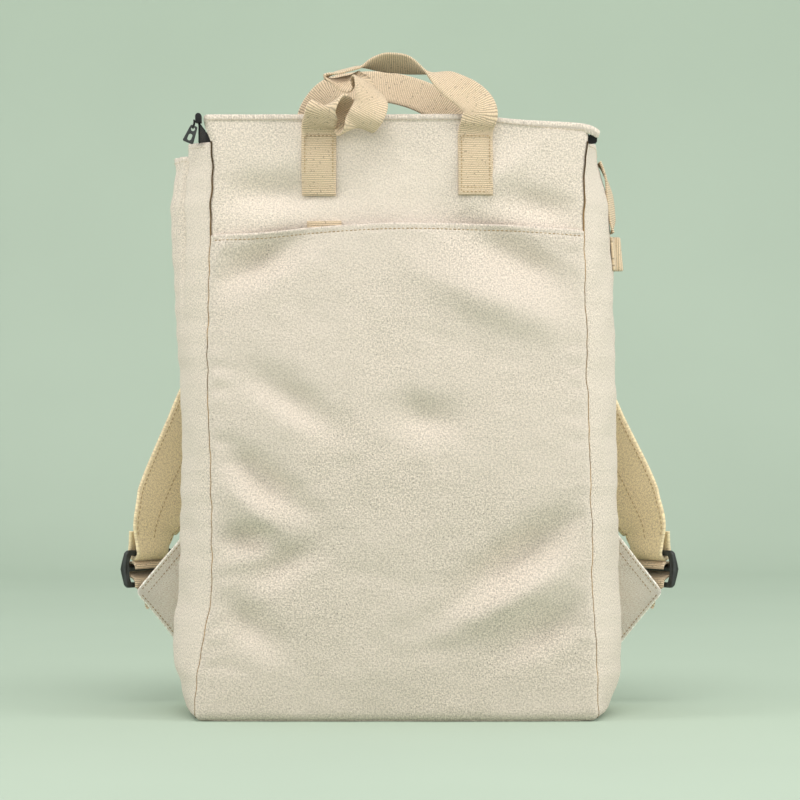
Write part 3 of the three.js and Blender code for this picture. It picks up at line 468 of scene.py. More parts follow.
def pocket_face(across, z):
    place = front_face(across, z, 0)
    fill = smoothstep(z, POCKET_DEEPEST, POCKET_HEIGHT * 0.6)
    place[..., 1] -= POCKET_GAPE * fill * (1 - across ** 4)
    return place


def back_face(across, z):
    ripple = waves(across * HALF_WIDTH, z, 80, 21) * (sizes().crumple / MM) * 1.3 * (1 - across ** 8)
    sunk = np.abs(ripple) * smoothstep(HEIGHT - z, *CALM_TOP) + floor_inset(z)
    return place_of(turned_in_x(across, z), half_depth(z) + crown_at(across, z) - sunk, z)


def plain_back(across, z):
    """The back face without its small waves; what is sewn on it follows this"""
    return place_of(across_x(across, z), half_depth(z) + crown_at(across, z), z)


def top_edge(across):
    return HEIGHT - DROOP * smoothstep(across, 0.3, 1.0)


def gusset_face(side, along, z):
    """Outer face of a gusset; along runs from its front seam (0) to its back seam (1)"""
    share = SHELL["swell_left" if side < 0 else "swell_right"](z / HEIGHT)
    swell = SWELL * share * np.sin(math.pi * np.clip(along, 0, 1)) ** 0.8
    for pucker in LEFT_PUCKERS if side < 0 else RIGHT_PUCKERS:
        dy = ((along - pucker.along) * BASE_DEPTH) / (pucker.long * SWELL)
        dz = (z - pucker.up * HEIGHT) / (pucker.broad * SWELL)
        swell = swell - DENT * pucker.deep * np.exp(-dy * dy - dz * dz)
    if side < 0:
        high = smoothstep(z, *CREASE_HEIGHTS)
        for crease in LEFT_CREASES:
            swell = swell - crease.deep * high * np.exp(-(((along - crease.along) / CREASE_BROAD) ** 2))
    else:
        swell = swell * (1 - TUCK_SHARE * smoothstep(z, *TUCK_HEIGHTS))
    crumple = sizes().crumple / MM
    ripple = waves(along * BASE_DEPTH, z, 60, 31 + side) * crumple
    edge = np.exp(-((along / 0.09) ** 2)) + np.exp(-(((1 - along) / 0.09) ** 2))
    ripple = ripple + edge * 0.5 * waves(z, z * 0, 19, 35 + side, 8)
    swell = swell + ripple * np.sin(math.pi * np.clip(along, 0, 1)) ** 0.5
    y = mix(-half_depth(z) + 2 * LAYER + GAP / 2, half_depth(z) - LAYER, along)
    y = y * (1 - FLOOR_NARROW * floor_inset(z) / HALF_WIDTH)
    x = seam_x(side, z) + side * (np.maximum(swell, 0) - floor_inset(z))
    return place_of(x, y, z)


def gusset_top(side, along):
    """Top edge of a gusset; the left one steps down behind its folded front part"""
    if side < 0:
        return GUSSET_HEIGHT + 0.5 - (GUSSET_STEP + 3.5) * smoothstep(along, 0.19, 0.25)
    return GUSSET_HEIGHT + 1.5 - GUSSET_STEP * smoothstep(along, 0.3, 0.5)


def finish_mesh(name, points, faces, material, uvs=None):
    """A piece from points in millimetres; its faces are turned so that they point out"""
    points = np.asarray(points, float)
    corners = np.array([[f[0], f[1], f[2], f[-1]] for f in faces])
    a, b, c, d = (points[corners[:, k]] for k in range(4))
    volume = np.einsum("ij,ij->", a, np.cross(b, c)) + np.einsum("ij,ij->", a, np.cross(c, d))
    if volume < 0:
        faces = [tuple(reversed(face)) for face in faces]
    mesh = bpy.data.meshes.new(name)
    mesh.from_pydata((points * MM).tolist(), [], faces)
    mesh.validate()
    if uvs is not None:
        layer = mesh.uv_layers.new(name="cloth")
        index = np.zeros(len(mesh.loops), dtype=np.int32)
        mesh.loops.foreach_get("vertex_index", index)
        layer.data.foreach_set("uv", (np.asarray(uvs, float)[index] * MM).ravel())
    mesh.polygons.foreach_set("use_smooth", [True] * len(mesh.polygons))
    mesh.materials.append(material)
    piece = bpy.data.objects.new(name, mesh)
    bpy.context.scene.collection.objects.link(piece)
    return piece


def dress(piece, slot, *nodes):
    """Put a piece on the frame; it takes the place of the nodes named"""
    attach(piece, "root")
    if nodes:
        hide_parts(*nodes)
    return piece


def cloth_wall(surface, columns, rows, thickness, inward, size=None):
    """A cloth sheet with two faces and a rounded rim, as points, faces and flat coordinates

    Without a size the flat coordinates are the places' own x and z
    """
    u, v = np.meshgrid(np.linspace(0, 1, columns + 1), np.linspace(0, 1, rows + 1))
    outer = surface(u, v)
    thickness = np.broadcast_to(thickness, u.shape)[..., None]
    if isinstance(inward, tuple):
        inner = outer + np.array(inward, float) * thickness
    else:
        along_u = np.gradient(outer, axis=1)
        along_v = np.gradient(outer, axis=0)
        inner = outer + inward * unit(np.cross(along_u, along_v)) * thickness
    line = columns + 1
    count = line * (rows + 1)
    grid = np.arange(count).reshape(rows + 1, line)
    a, b, c, d = grid[:-1, :-1], grid[:-1, 1:], grid[1:, 1:], grid[1:, :-1]
    front = np.stack([a, b, c, d], axis=-1).reshape(-1, 4)
    behind = front[:, ::-1] + count
    rim = list(grid[0, :-1]) + list(grid[:-1, -1]) + list(grid[-1, :0:-1]) + list(grid[:0:-1, 0])
    flat_outer = outer.reshape(-1, 3)
    flat_inner = inner.reshape(-1, 3)
    middle = []
    for place in rim:
        j, i = divmod(int(place), line)
        inside = grid[min(max(j, 1), rows - 1), min(max(i, 1), columns - 1)]
        out = flat_outer[place] - flat_outer[inside]
        out /= np.linalg.norm(out) + 1e-9
        half = (flat_outer[place] + flat_inner[place]) / 2
        middle.append(half + out * np.linalg.norm(flat_inner[place] - flat_outer[place]) * 0.4)
    points = np.concatenate([flat_outer, flat_inner, np.array(middle)])
    faces = [tuple(face) for face in np.concatenate([front, behind]).tolist()]
    for k, place in enumerate(rim):
        after = rim[(k + 1) % len(rim)]
        edge, edge_after = 2 * count + k, 2 * count + (k + 1) % len(rim)
        faces.append((int(place), edge, edge_after, int(after)))
        faces.append((edge, int(place) + count, int(after) + count, edge_after))
    flat = flat_outer[:, [0, 2]]
    if size is not None:
        flat = np.stack([u.ravel() * size[0], v.ravel() * size[1]], axis=-1)
    uvs = np.concatenate([flat, flat, flat[np.array(rim, int)]])
    return points, faces, uvs


class Line:
    """A centripetal curve through points, read from 0 to 1 as the solids' curves are"""

    def __init__(self, points):
        self.points = [np.array(point, float) for point in points]

    def at(self, t):
        points = self.points
        last = len(points) - 1
        place = last * t
        i = int(math.floor(place))
        weight = place - i
        if i >= last:
            i, weight = last - 1, 1.0
        p1, p2 = points[i], points[i + 1]
        p0 = points[i - 1] if i > 0 else 2 * points[0] - points[1]
        p3 = points[i + 2] if i + 2 <= last else 2 * points[last] - points[last - 1]
        d0, d1, d2 = (max(float(np.dot(b - a, b - a)), 0.0) ** 0.25
                      for a, b in ((p0, p1), (p1, p2), (p2, p3)))
        d1 = d1 if d1 > 1e-4 else 1.0
        d0 = d0 if d0 > 1e-4 else d1
        d2 = d2 if d2 > 1e-4 else d1
        t1 = ((p1 - p0) / d0 - (p2 - p0) / (d0 + d1) + (p2 - p1) / d1) * d1
        t2 = ((p2 - p1) / d1 - (p3 - p1) / (d1 + d2) + (p3 - p2) / d2) * d1
        c2 = -3 * p1 + 3 * p2 - 2 * t1 - t2
        c3 = 2 * p1 - 2 * p2 + t1 + t2
        return p1 + t1 * weight + c2 * weight ** 2 + c3 * weight ** 3


Row = namedtuple("Row", "at wide width")


class Band:
    """A flat band along rows of middle, width direction and width, all in millimetres"""

    def __init__(self, rows, thickness, steps):
        middle = Line([row.at for row in rows])
        wides = Line([unit(np.array(row.wide, float)) for row in rows])
        self.thickness = thickness
        shares = np.linspace(0, 1, steps + 1)
        self.at = np.array([middle.at(t) for t in shares])
        tangent = np.array([middle.at(min(t + 1e-4, 1)) - middle.at(max(t - 1e-4, 0)) for t in shares])
        self.tangent = unit(tangent)
        wide = np.array([wides.at(t) for t in shares])
        wide -= self.tangent * np.sum(wide * self.tangent, axis=1, keepdims=True)
        self.wide = unit(wide)
        self.deep = np.cross(self.tangent, self.wide)
        place = shares * (len(rows) - 1)
        self.half = np.interp(place, np.arange(len(rows)), [row.width / 2 for row in rows])
        self.run = run_along(self.at)

    def line(self, share, lift, start=0.0, end=1.0):
        """Places and directions of a line along the band: share -1 to 1 across, lift off its middle"""
        first = int(round(start * (len(self.at) - 1)))
        last = int(round(end * (len(self.at) - 1)))
        part = slice(first, last + 1)
        at = self.at[part] + self.wide[part] * (self.half[part] * share)[:, None]
        sign = 1 if lift >= 0 else -1
        return at + self.deep[part] * lift, self.deep[part] * sign

    def mesh(self, across):
        """Points, faces and flat coordinates of the band with rounded edges"""
        shares = np.linspace(-1, 1, across + 1)
        profile = [(share, 1.0) for share in shares] + [(share, -1.0) for share in shares[::-1]]
        points, uvs = [], []
        round_end = self.thickness * 0.45
        for i in range(len(self.at)):
            for share, lift in profile:
                end = abs(share) > 0.999
                reach = self.half[i] * share - (math.copysign(round_end, share) if end else 0)
                points.append(self.at[i] + self.wide[i] * reach
                              + self.deep[i] * lift * self.thickness / 2)
                uvs.append((self.half[i] * share, self.run[i]))
            for share in (-1, 1):
                points.append(self.at[i] + self.wide[i] * self.half[i] * share)
                uvs.append((self.half[i] * share, self.run[i]))
        top = across + 1
        ring = list(range(top)) + [2 * top + 1] + list(range(top, 2 * top)) + [2 * top]
        size = 2 * top + 2
        faces = []
        for i in range(len(self.at) - 1):
            for k, corner in enumerate(ring):
                after = ring[(k + 1) % len(ring)]
                start, end = i * size, (i + 1) * size
                faces.append((start + corner, start + after, end + after, end + corner))
        for start, turn in ((0, -1), ((len(self.at) - 1) * size, 1)):
            for k in range(across):
                cap = [k, k + 1, 2 * top - 2 - k, 2 * top - 1 - k]
                faces.append(tuple(start + corner for corner in cap[::turn]))
            for cap in ([0, 2 * top - 1, 2 * top], [top - 1, 2 * top + 1, top]):
                faces.append(tuple(start + corner for corner in cap[::turn]))
        return points, faces, uvs


def tube(path, radius, sides=8):
    """Points, faces and flat coordinates of a closed thin tube along points in millimetres"""
    path = np.asarray(path, float)
    tangent = unit(np.gradient(path, axis=0))
    side = unit(np.cross(tangent, [0.31, 0.87, 0.38]))
    other = np.cross(tangent, side)
    run = run_along(path)
    points, uvs = [], []
    for i, middle in enumerate(path):
        for k in range(sides):
            turn = 2 * math.pi * k / sides
            points.append(middle + radius * (side[i] * math.cos(turn) + other[i] * math.sin(turn)))
            uvs.append((radius * turn, run[i]))
    return points, ring_faces(len(path), sides), uvs


def beads(name, slot, cloth, lines, pitch, length, thick, lean=0.0):
    """One piece of small rounded beads, set along lines of places and outward directions

    A bead's length is a share of the pitch, and lean turns it away from its line
    """
    radius = thick / 2
    points, faces = [], []
    rings = ((-0.5, 0.35), (-0.36, 0.9), (0.0, 1.1), (0.36, 0.9), (0.5, 0.35))
    sides = 6
    for places, outs in lines:
        places = np.asarray(places, float)
        run = run_along(places)
        count = max(int(run[-1] / pitch), 1)
        for k in range(count):
            at_run = (k + 0.5) * run[-1] / count
            before, at, after = (read_rows(places, run, at_run + shift * pitch) for shift in (-0.3, 0, 0.3))
            out = unit(read_rows(outs, run, at_run))
            along = after - before
            along /= np.linalg.norm(along) + 1e-9
            side = np.cross(out, along)
            along = along * math.cos(lean) + side * math.sin(lean)
            side = np.cross(out, along)
            base = len(points)
            for share, swell in rings:
                sink = radius * (0.35 - 2.2 * share * share)
                middle = at + along * share * pitch * length + out * sink
                for s in range(sides):
                    turn = 2 * math.pi * s / sides
                    round_it = side * math.cos(turn) + out * math.sin(turn)
                    points.append(middle + radius * swell * round_it)
            faces += ring_faces(len(rings), sides, base)
    return dress(finish_mesh(name, points, faces, finish(cloth)), slot)


def sew(name, slot, cloth, lines, pitch, thick=None):
    """One piece of thread; pitch and thickness are those at the panel's default stitch"""
    pitch = pitch * (sizes().stitch_pitch / MM) / STITCH_PITCH
    return beads(name, slot, cloth, lines, pitch, 0.66, thick or sizes().stitch_thick / MM)


class Finish:
    """A material under construction: short names for the nodes that the finishes here use"""

    def __init__(self, name, roughness, sheen=0.0, metallic=0.0, specular=0.5):
        self.material = bpy.data.materials.new(name)
        self.material.use_nodes = True
        self.tree = self.material.node_tree
        self.shader = self.tree.nodes["Principled BSDF"]
        self.shader.inputs["Roughness"].default_value = roughness
        self.shader.inputs["Metallic"].default_value = metallic
        self.shader.inputs["Specular IOR Level"].default_value = specular
        self.shader.inputs["Sheen Weight"].default_value = sheen
        self.shader.inputs["Sheen Roughness"].default_value = 0.6

    def node(self, kind, **settings):
        made = self.tree.nodes.new(kind)
        for key, value in settings.items():
            setattr(made, key, value)
        return made

    def feed(self, socket, value):
        if isinstance(value, bpy.types.NodeSocket):
            self.tree.links.new(value, socket)
        else:
            socket.default_value = value

    def maths(self, operation, a, b=0.0, c=0.0):
        made = self.node("ShaderNodeMath", operation=operation)
        for socket, value in zip(made.inputs, (a, b, c)):
            self.feed(socket, value)
        return made.outputs[0]

    def ribs(self, run, pitch):
        """Round ribs from 0 to 1 high, at a pitch along a run in metres"""
        return self.maths("ABSOLUTE", self.maths("SINE", self.maths("MULTIPLY", run, math.pi / pitch)))

    def flat(self):
        """The two flat coordinates of a cloth in metres"""
        source = self.node("ShaderNodeUVMap", uv_map="cloth")
        split = self.node("ShaderNodeSeparateXYZ")
        self.feed(split.inputs[0], source.outputs[0])
        return split.outputs[0], split.outputs[1]

    def vector(self, x, y, z=0.0):
        made = self.node("ShaderNodeCombineXYZ")
        for socket, value in zip(made.inputs, (x, y, z)):
            self.feed(socket, value)
        return made.outputs[0]

    def noise(self, where, scale, detail=2.0, rough=0.5):
        made = self.node("ShaderNodeTexNoise")
        self.feed(made.inputs["Vector"], where)
        made.inputs["Scale"].default_value = scale
        made.inputs["Detail"].default_value = detail
        made.inputs["Roughness"].default_value = rough
        return made.outputs["Fac"]

    def spread(self, value, low, high, to_low=0.0, to_high=1.0):
        made = self.node("ShaderNodeMapRange")
        for socket, number in zip(made.inputs, (value, low, high, to_low, to_high)):
            self.feed(socket, number)
        return made.outputs[0]

    def blend(self, share, first, second, kind="MIX"):
        made = self.node("ShaderNodeMix", data_type="RGBA", blend_type=kind)
        self.feed(made.inputs[0], share)
        for socket, value in ((made.inputs[6], first), (made.inputs[7], second)):
            if not isinstance(value, bpy.types.NodeSocket):
                value = (*value, 1.0)
            self.feed(socket, value)
        return made.outputs[2]

    def bump(self, height, distance, strength=1.0, under=None):
        made = self.node("ShaderNodeBump")
        made.inputs["Distance"].default_value = distance
        made.inputs["Strength"].default_value = strength
        self.feed(made.inputs["Height"], height)
        if under is not None:
            self.feed(made.inputs["Normal"], under)
        return made.outputs[0]

    def colour(self, value):
        self.feed(self.shader.inputs["Base Color"], value)

    def normal(self, value):
        self.feed(self.shader.inputs["Normal"], value)


def toned(colour, share):
    """A colour made lighter or darker by a share"""
    return tuple(min(channel * share, 1.0) for channel in colour)


def canvas_finish(name="natural_canvas", tint=1.0, colour=None):
    """Plain-woven natural cotton: crossing uneven yarns, fine grain and dark flecks"""
    look = Finish(name, roughness=0.92, sheen=0.12, specular=0.2)
    base = toned(tuple(colour or colours().canvas), tint)
    u, v = look.flat()
    pitch = sizes().thread_pitch
    wobble = look.noise(look.vector(u, v), 260.0, 2.0)
    shift = look.maths("MULTIPLY_ADD", wobble, pitch * 2.4, -pitch * 1.2)
    warp = look.ribs(look.maths("ADD", u, shift), pitch)
    weft = look.ribs(look.maths("SUBTRACT", v, shift), pitch)
    over = look.maths("MULTIPLY", warp, weft)
    yarn_up = look.noise(look.vector(look.maths("MULTIPLY", u, 1.8), v), 600.0, 1.0)
    yarn_across = look.noise(look.vector(u, look.maths("MULTIPLY", v, 1.8)), 600.0, 1.0)
    yarn = look.maths("ADD", yarn_up, yarn_across)
    grain = look.noise(look.vector(u, v, 0.5), 900.0, 2.0, 0.6)
    fleck = look.noise(look.vector(u, v, 0.3), 760.0, 1.0)
    cloud = look.noise(look.vector(u, v, 0.7), 9.0, 2.0)
    tone = look.blend(look.spread(yarn, 0.82, 1.18), toned(base, 0.76), toned(base, 1.2))
    dusky = look.blend(1.0, tone, (0.86, 0.85, 0.82), "MULTIPLY")
    tone = look.blend(look.spread(grain, 0.3, 0.7), dusky, tone)
    tone = look.blend(look.spread(fleck, 0.66, 0.72), tone, toned(base, 0.4))
    tone = look.blend(look.spread(cloud, 0.35, 0.65, 0.0, 0.5), tone, toned(base, 0.97))
    look.colour(tone)
    threads = look.maths("ADD", look.maths("MULTIPLY_ADD", over, 0.4, yarn), grain)
    crease = look.noise(look.vector(u, v, 1.1), 60.0, 3.0, 0.55)
    under = look.bump(crease, 0.0011, 0.5)
    look.normal(look.bump(threads, 0.00034, 0.85, under))
    return look.material


def webbing_finish(name, colour, rib):
    """Ribbed cotton webbing: close ribs across its width, broken into small knuckles"""
    look = Finish(name, roughness=0.88, sheen=0.12, specular=0.22)
    base = tuple(colour)
    u, v = look.flat()
    wobble = look.noise(look.vector(u, v), 220.0, 1.0)
    along = look.maths("ADD", v, look.maths("MULTIPLY", wobble, rib * 0.5))
    row = look.maths("FLOOR", look.maths("DIVIDE", along, rib))
    knuckle_pitch = rib * 0.9
    staggered = look.maths("MULTIPLY_ADD", row, knuckle_pitch / 2, u)
    knuckle = look.ribs(staggered, knuckle_pitch)
    rounded = look.maths("MULTIPLY_ADD", knuckle, 0.45, 0.55)
    height = look.maths("MULTIPLY", look.ribs(along, rib), rounded)
    grain = look.noise(look.vector(u, v, 0.4), 900.0, 2.0, 0.6)
    fleck = look.noise(look.vector(u, v, 0.9), 480.0, 1.0)
    cloud = look.noise(look.vector(u, v, 0.2), 30.0, 2.0)
    # Rib tops painted lighter and the valleys between ribs darker, following the rib height: painted
    # highlight and painted shade
    tone = look.blend(look.spread(height, 0.1, 0.8), toned(base, 0.45), toned(base, 1.22))
    dusky = look.blend(1.0, tone, (0.88, 0.85, 0.8), "MULTIPLY")
    tone = look.blend(look.spread(grain, 0.35, 0.65), dusky, tone)
    tone = look.blend(look.spread(fleck, 0.63, 0.7), tone, toned(base, 0.45))
    tone = look.blend(look.spread(cloud, 0.35, 0.65, 0.0, 0.4), tone, toned(base, 0.92))
    look.colour(tone)
    look.normal(look.bump(look.maths("MULTIPLY_ADD", grain, 0.4, height), 0.0003, 0.85))
    return look.material


def thread_finish(name, colour):
    look = Finish(name, roughness=0.8, sheen=0.1, specular=0.25)
    where = look.node("ShaderNodeTexCoord").outputs["Object"]
    twist = look.noise(where, 1800.0, 1.0)
    look.colour(look.blend(look.spread(twist, 0.3, 0.7), toned(colour, 0.8), toned(colour, 1.05)))
    look.normal(look.bump(twist, 0.00015, 0.6))
    return look.material


def seam_shade_finish(colour):
    """Painted shade of the seam grooves, laid on thin tubes: tan low down and nearly black towards the top
    """
    look = Finish("painted_seam_shade", roughness=0.85, specular=0.2)
    where = look.node("ShaderNodeTexCoord").outputs["Object"]
    split = look.node("ShaderNodeSeparateXYZ")
    look.feed(split.inputs[0], where)
    patch = look.noise(where, 45.0, 2.0)
    tone = look.blend(look.spread(patch, 0.35, 0.65), toned(colour, 0.45), toned(colour, 1.3))
    # Nearly black from 0.34 m up: painted shade, deepest towards the top
    look.colour(look.blend(look.spread(split.outputs[2], 0.34, 0.4), tone, toned(colour, 0.2)))
    return look.material


def black_finish(name, colour, roughness, metallic=0.0):
    """Moulded or painted black, with a little wear in its gloss"""
    look = Finish(name, roughness=roughness, metallic=metallic, specular=0.45)
    where = look.node("ShaderNodeTexCoord").outputs["Object"]
    grain = look.noise(where, 900.0, 3.0, 0.6)
    wear = look.noise(where, 160.0, 2.0)
    look.colour(look.blend(look.spread(wear, 0.4, 0.7), colour, toned(colour, 1.7)))
    gloss = look.spread(grain, 0.3, 0.7, roughness - 0.08, roughness + 0.12)
    look.feed(look.shader.inputs["Roughness"], gloss)
    look.normal(look.bump(grain, 0.00008, 0.5))
    return look.material


def tape_finish():
    """Black zip tape with a fine slanted rib"""
    look = Finish("black_tape", roughness=0.85, sheen=0.1, specular=0.2)
    u, v = look.flat()
    rib = 0.9 * MM
    height = look.maths("MULTIPLY", look.ribs(u, rib), look.ribs(look.maths("ADD", u, v), rib))
    # The valleys between the ribs are painted darker and the rib tops lighter: painted shade and highlight
    look.colour(look.blend(height, (0.006, 0.006, 0.006), (0.022, 0.022, 0.021)))
    look.normal(look.bump(height, 0.0002, 0.8))
    return look.material


FINISHES = {}


def finish(name):
    """The named finish, made once"""
    if name not in FINISHES:
        picks = colours()
        makers = {
            "canvas": canvas_finish,
            # The wings take the body canvas made 1.38 times lighter: painted light for their shaded corner
            # behind the gussets
            "wings_painted_light": lambda: canvas_finish("canvas_painted_light_for_wings", 1.38),
            # The pocket takes the body canvas made a little darker: painted shade
            "pocket_canvas_painted_shade": lambda: canvas_finish("pocket_canvas_painted_shade", 0.93),
            "webbing": lambda: webbing_finish("cream_webbing", picks.webbing, sizes().rib_pitch),
            # The straps' own tan made 1.22 times lighter: their own colour, with painted light on top
            "strap": lambda: canvas_finish("strap_cotton_painted_light", 1.22, picks.strap),
            "thread": lambda: thread_finish("cream_thread", (0.62, 0.52, 0.37)),
            "strap_thread": lambda: thread_finish("strap_thread", (0.5, 0.37, 0.2)),
            "tan_thread": lambda: thread_finish("tan_thread", (0.4, 0.28, 0.14)),
            # Painted shade of the side seams' grooves
            "seam": lambda: seam_shade_finish(tuple(picks.seam)),
            "plastic": lambda: black_finish("black_plastic", (0.02, 0.023, 0.021), 0.34),
            "metal": lambda: black_finish("black_metal", (0.012, 0.012, 0.012), 0.38, 0.5),
            "tape": tape_finish,
        }
        FINISHES[name] = makers[name]()
    return FINISHES[name]


def made_piece(name, shape, cloth, slot, *nodes):
    """A dressed piece from a shape's points, faces and flat coordinates"""
    points, faces, uvs = shape
    return dress(finish_mesh(name, points, faces, finish(cloth), uvs), slot, *nodes)


def sheet_piece(name, wall, slot, node, cloth="canvas"):
    """A cloth wall with its flat size in millimetres"""
    piece = made_piece(name, wall, cloth, slot, node)
    return piece


class BACKPACK_OT_shell(bpy.types.Operator):
    """Canvas walls, slip pocket and base"""

    bl_idname = "backpack.shell"
    bl_label = "Canvas shell"

    def execute(self, context):
        split = 0.82  # share of the panel's rows that lie behind the pocket

        def panel(u, v):
            across = u * 2 - 1
            edge = POCKET_HEIGHT + POCKET_RISE(across)
            low = mix(FOOT_HEIGHT, edge, v / split)
            high = mix(edge, top_edge(across) - HEM_HEIGHT * 0.6, (v - split) / (1 - split))
            return front_face(across, np.where(v < split, low, high), 1)

        def pocket(u, v):
            across = u * 2 - 1
            edge = POCKET_HEIGHT + POCKET_RISE(across)
            low = mix(FOOT_HEIGHT, edge - POCKET_HEM, v / HEM_START)
            high = edge - POCKET_HEM * (1 - v) / (1 - HEM_START)
            z = np.where(v < HEM_START, low, high)
            place = pocket_face(across, z)
            pucker = 0.65 + 0.35 * waves(across * HALF_WIDTH, z * 0, 15, 17, 8)
            groove = np.exp(-(((z - edge + POCKET_STITCH) / 1.3) ** 2))
            place[..., 1] += 0.55 * groove * pucker
            return place

        def back(u, v):
            return back_face(u * 2 - 1, mix(FOOT_HEIGHT, HEIGHT - HEM_HEIGHT * 0.6, v))

        front_wall = cloth_wall(panel, 100, 156, WALL, (0, 1, 0))
        sheet_piece("front_cloth", front_wall, "canvas", "front_panel")
        columns, rows = 120, 155
        edge = np.linspace(0, 1, rows + 1)[:, None]
        full = smoothstep(edge, HEM_START - 0.005, HEM_START + 0.02) * np.ones((1, columns + 1))
        hem = WALL + 0.9 * full
        pocket_wall = cloth_wall(pocket, columns, rows, hem, (0, 1, 0))
        # The pocket's canvas is a darker copy of the body canvas: painted shade
        sheet_piece("pocket_cloth", pocket_wall, "canvas", "front_pocket",
                    "pocket_canvas_painted_shade")
        back_wall = cloth_wall(back, 80, 120, WALL, (0, -1, 0))
        sheet_piece("back_cloth", back_wall, "canvas", "back_panel")
        for side, word in SIDES:
            def gusset(along, v, side=side):
                return gusset_face(side, along, mix(FOOT_HEIGHT, gusset_top(side, along), v))
            wall = cloth_wall(gusset, 72, 150, WALL, -side, (BASE_DEPTH * 1.25, GUSSET_HEIGHT))
            sheet_piece("gusset_cloth_" + word, wall, "canvas", "gusset_" + word)
        self.base()
        return {"FINISHED"}

    def base(self):
        """The base, cut to the foot of the four walls, flat with rounded edges"""
        low = 1.0
        steps = np.linspace(0, 1, 25)[:-1]
        loop = np.concatenate([
            front_face(steps * 2 - 1, np.full_like(steps, low), 0),
            gusset_face(1, steps, np.full_like(steps, low)),
            back_face(1 - steps * 2, np.full_like(steps, low)),
            gusset_face(-1, 1 - steps, np.full_like(steps, low)),
        ])[:, :2]
        count = len(loop)
        under = [(0.985, 0.9), (0.99, 0.25), (0.975, 0.0), (0.75, 0.0), (0.5, 0.0), (0.25, 0.0)]
        upper = [(0.25, 2.0), (0.5, 2.0), (0.75, 2.0), (0.965, 2.0), (0.98, 1.6)]
        rings = under + upper
        last_under = len(under) - 1
        points, uvs, faces = [], [], []
        for share, z in rings:
            for x, y in loop:
                points.append((x * share, y * share, z))
                uvs.append((x * share, y * share))
        pairs = [(i, i + 1) for i in range(len(rings) - 1) if i != last_under]
        for first, second in pairs + [(len(rings) - 1, 0)]:
            for k in range(count):
                after = (k + 1) % count
                faces.append((first * count + k, first * count + after,
                              second * count + after, second * count + k))
        for ring in (last_under, last_under + 1):
            middle = len(points)
            points.append((0.0, 0.0, rings[ring][1]))
            uvs.append((0.0, 0.0))
            for k in range(count):
                corners = (ring * count + k, ring * count + (k + 1) % count, middle)
                faces.append(corners if ring == last_under else corners[::-1])
        piece = made_piece("base_cloth", (points, faces, uvs), "canvas", "canvas", "base_panel")


class BACKPACK_OT_hems(bpy.types.Operator):
    """Rolled top hems"""

    bl_idname = "backpack.hems"
    bl_label = "Rolled hems"

    def roll(self, name, node, middles, ups, sway_seed):
        """A rolled edge along its middles; it sways a little and thins out at both ends"""
        steps = 200
        line = Line(middles)
        tilt = Line(ups)
        shares = np.linspace(0, 1, steps + 1)
        path = np.array([line.at(t) for t in shares])
        rise = unit(np.array([tilt.at(t) for t in shares]))
        out = np.cross(unit(np.gradient(path, axis=0)), rise)
        run = run_along(path)
        sway = waves(run, run * 0, 45, sway_seed, 10)
        sides = 18
        points, uvs = [], []
        for i in range(steps + 1):
            end = min(run[i], run[-1] - run[i])
            full = min(1.0, 0.62 + 0.38 * math.sqrt(min(end / 2.5, 1.0)))
            for k in range(sides):
                turn = 2 * math.pi * k / sides
                high = math.copysign(abs(math.sin(turn)) ** 0.8, math.sin(turn))
                deep = math.copysign(abs(math.cos(turn)) ** 0.75, math.cos(turn))
                swell = 1 + 0.05 * sway[i]
                narrow = 1 - 0.28 * max(-high, 0)
                points.append(path[i] + rise[i] * (high * HEM_HEIGHT / 2 * full + 0.12 * sway[i])
                              + out[i] * deep * HEM_THICK / 2 * full * swell * narrow)
                uvs.append((run[i], HEM_HEIGHT * turn / math.pi))
        made_piece(name, (points, ring_faces(steps + 1, sides), uvs), "canvas", "canvas", node)

    def execute(self, context):
        inset = WALL + GAP + WALL / 2
        middles, ups = [], []
        for across in (-1, -0.66, -0.33, 0, 0.33, 0.66, 1):
            z = float(top_edge(across)) - HEM_HEIGHT / 2
            at = front_face(np.float64(across), np.float64(z), 0)
            at[1] += inset - SEAM_TURN * (abs(across) == 1)
            middles.append(at)
            ups.append((0, 0, 1))
        middles.append(middles[-1] + np.array([8.0, 0, -4.0]))
        ups.append((0.3, 0, 1))
        self.roll("front_hem_roll", "top_hem_front", middles, ups, 41)
        middles = []
        for across in (-1, -0.5, 0, 0.5, 1):
            at = plain_back(np.float64(across), np.float64(HEIGHT - HEM_HEIGHT / 2))
            at[1] -= WALL / 2
            middles.append(at)
        self.roll("back_hem_roll", "top_hem_back", middles, [(0, 0, 1)] * 5, 43)
        return {"FINISHED"}


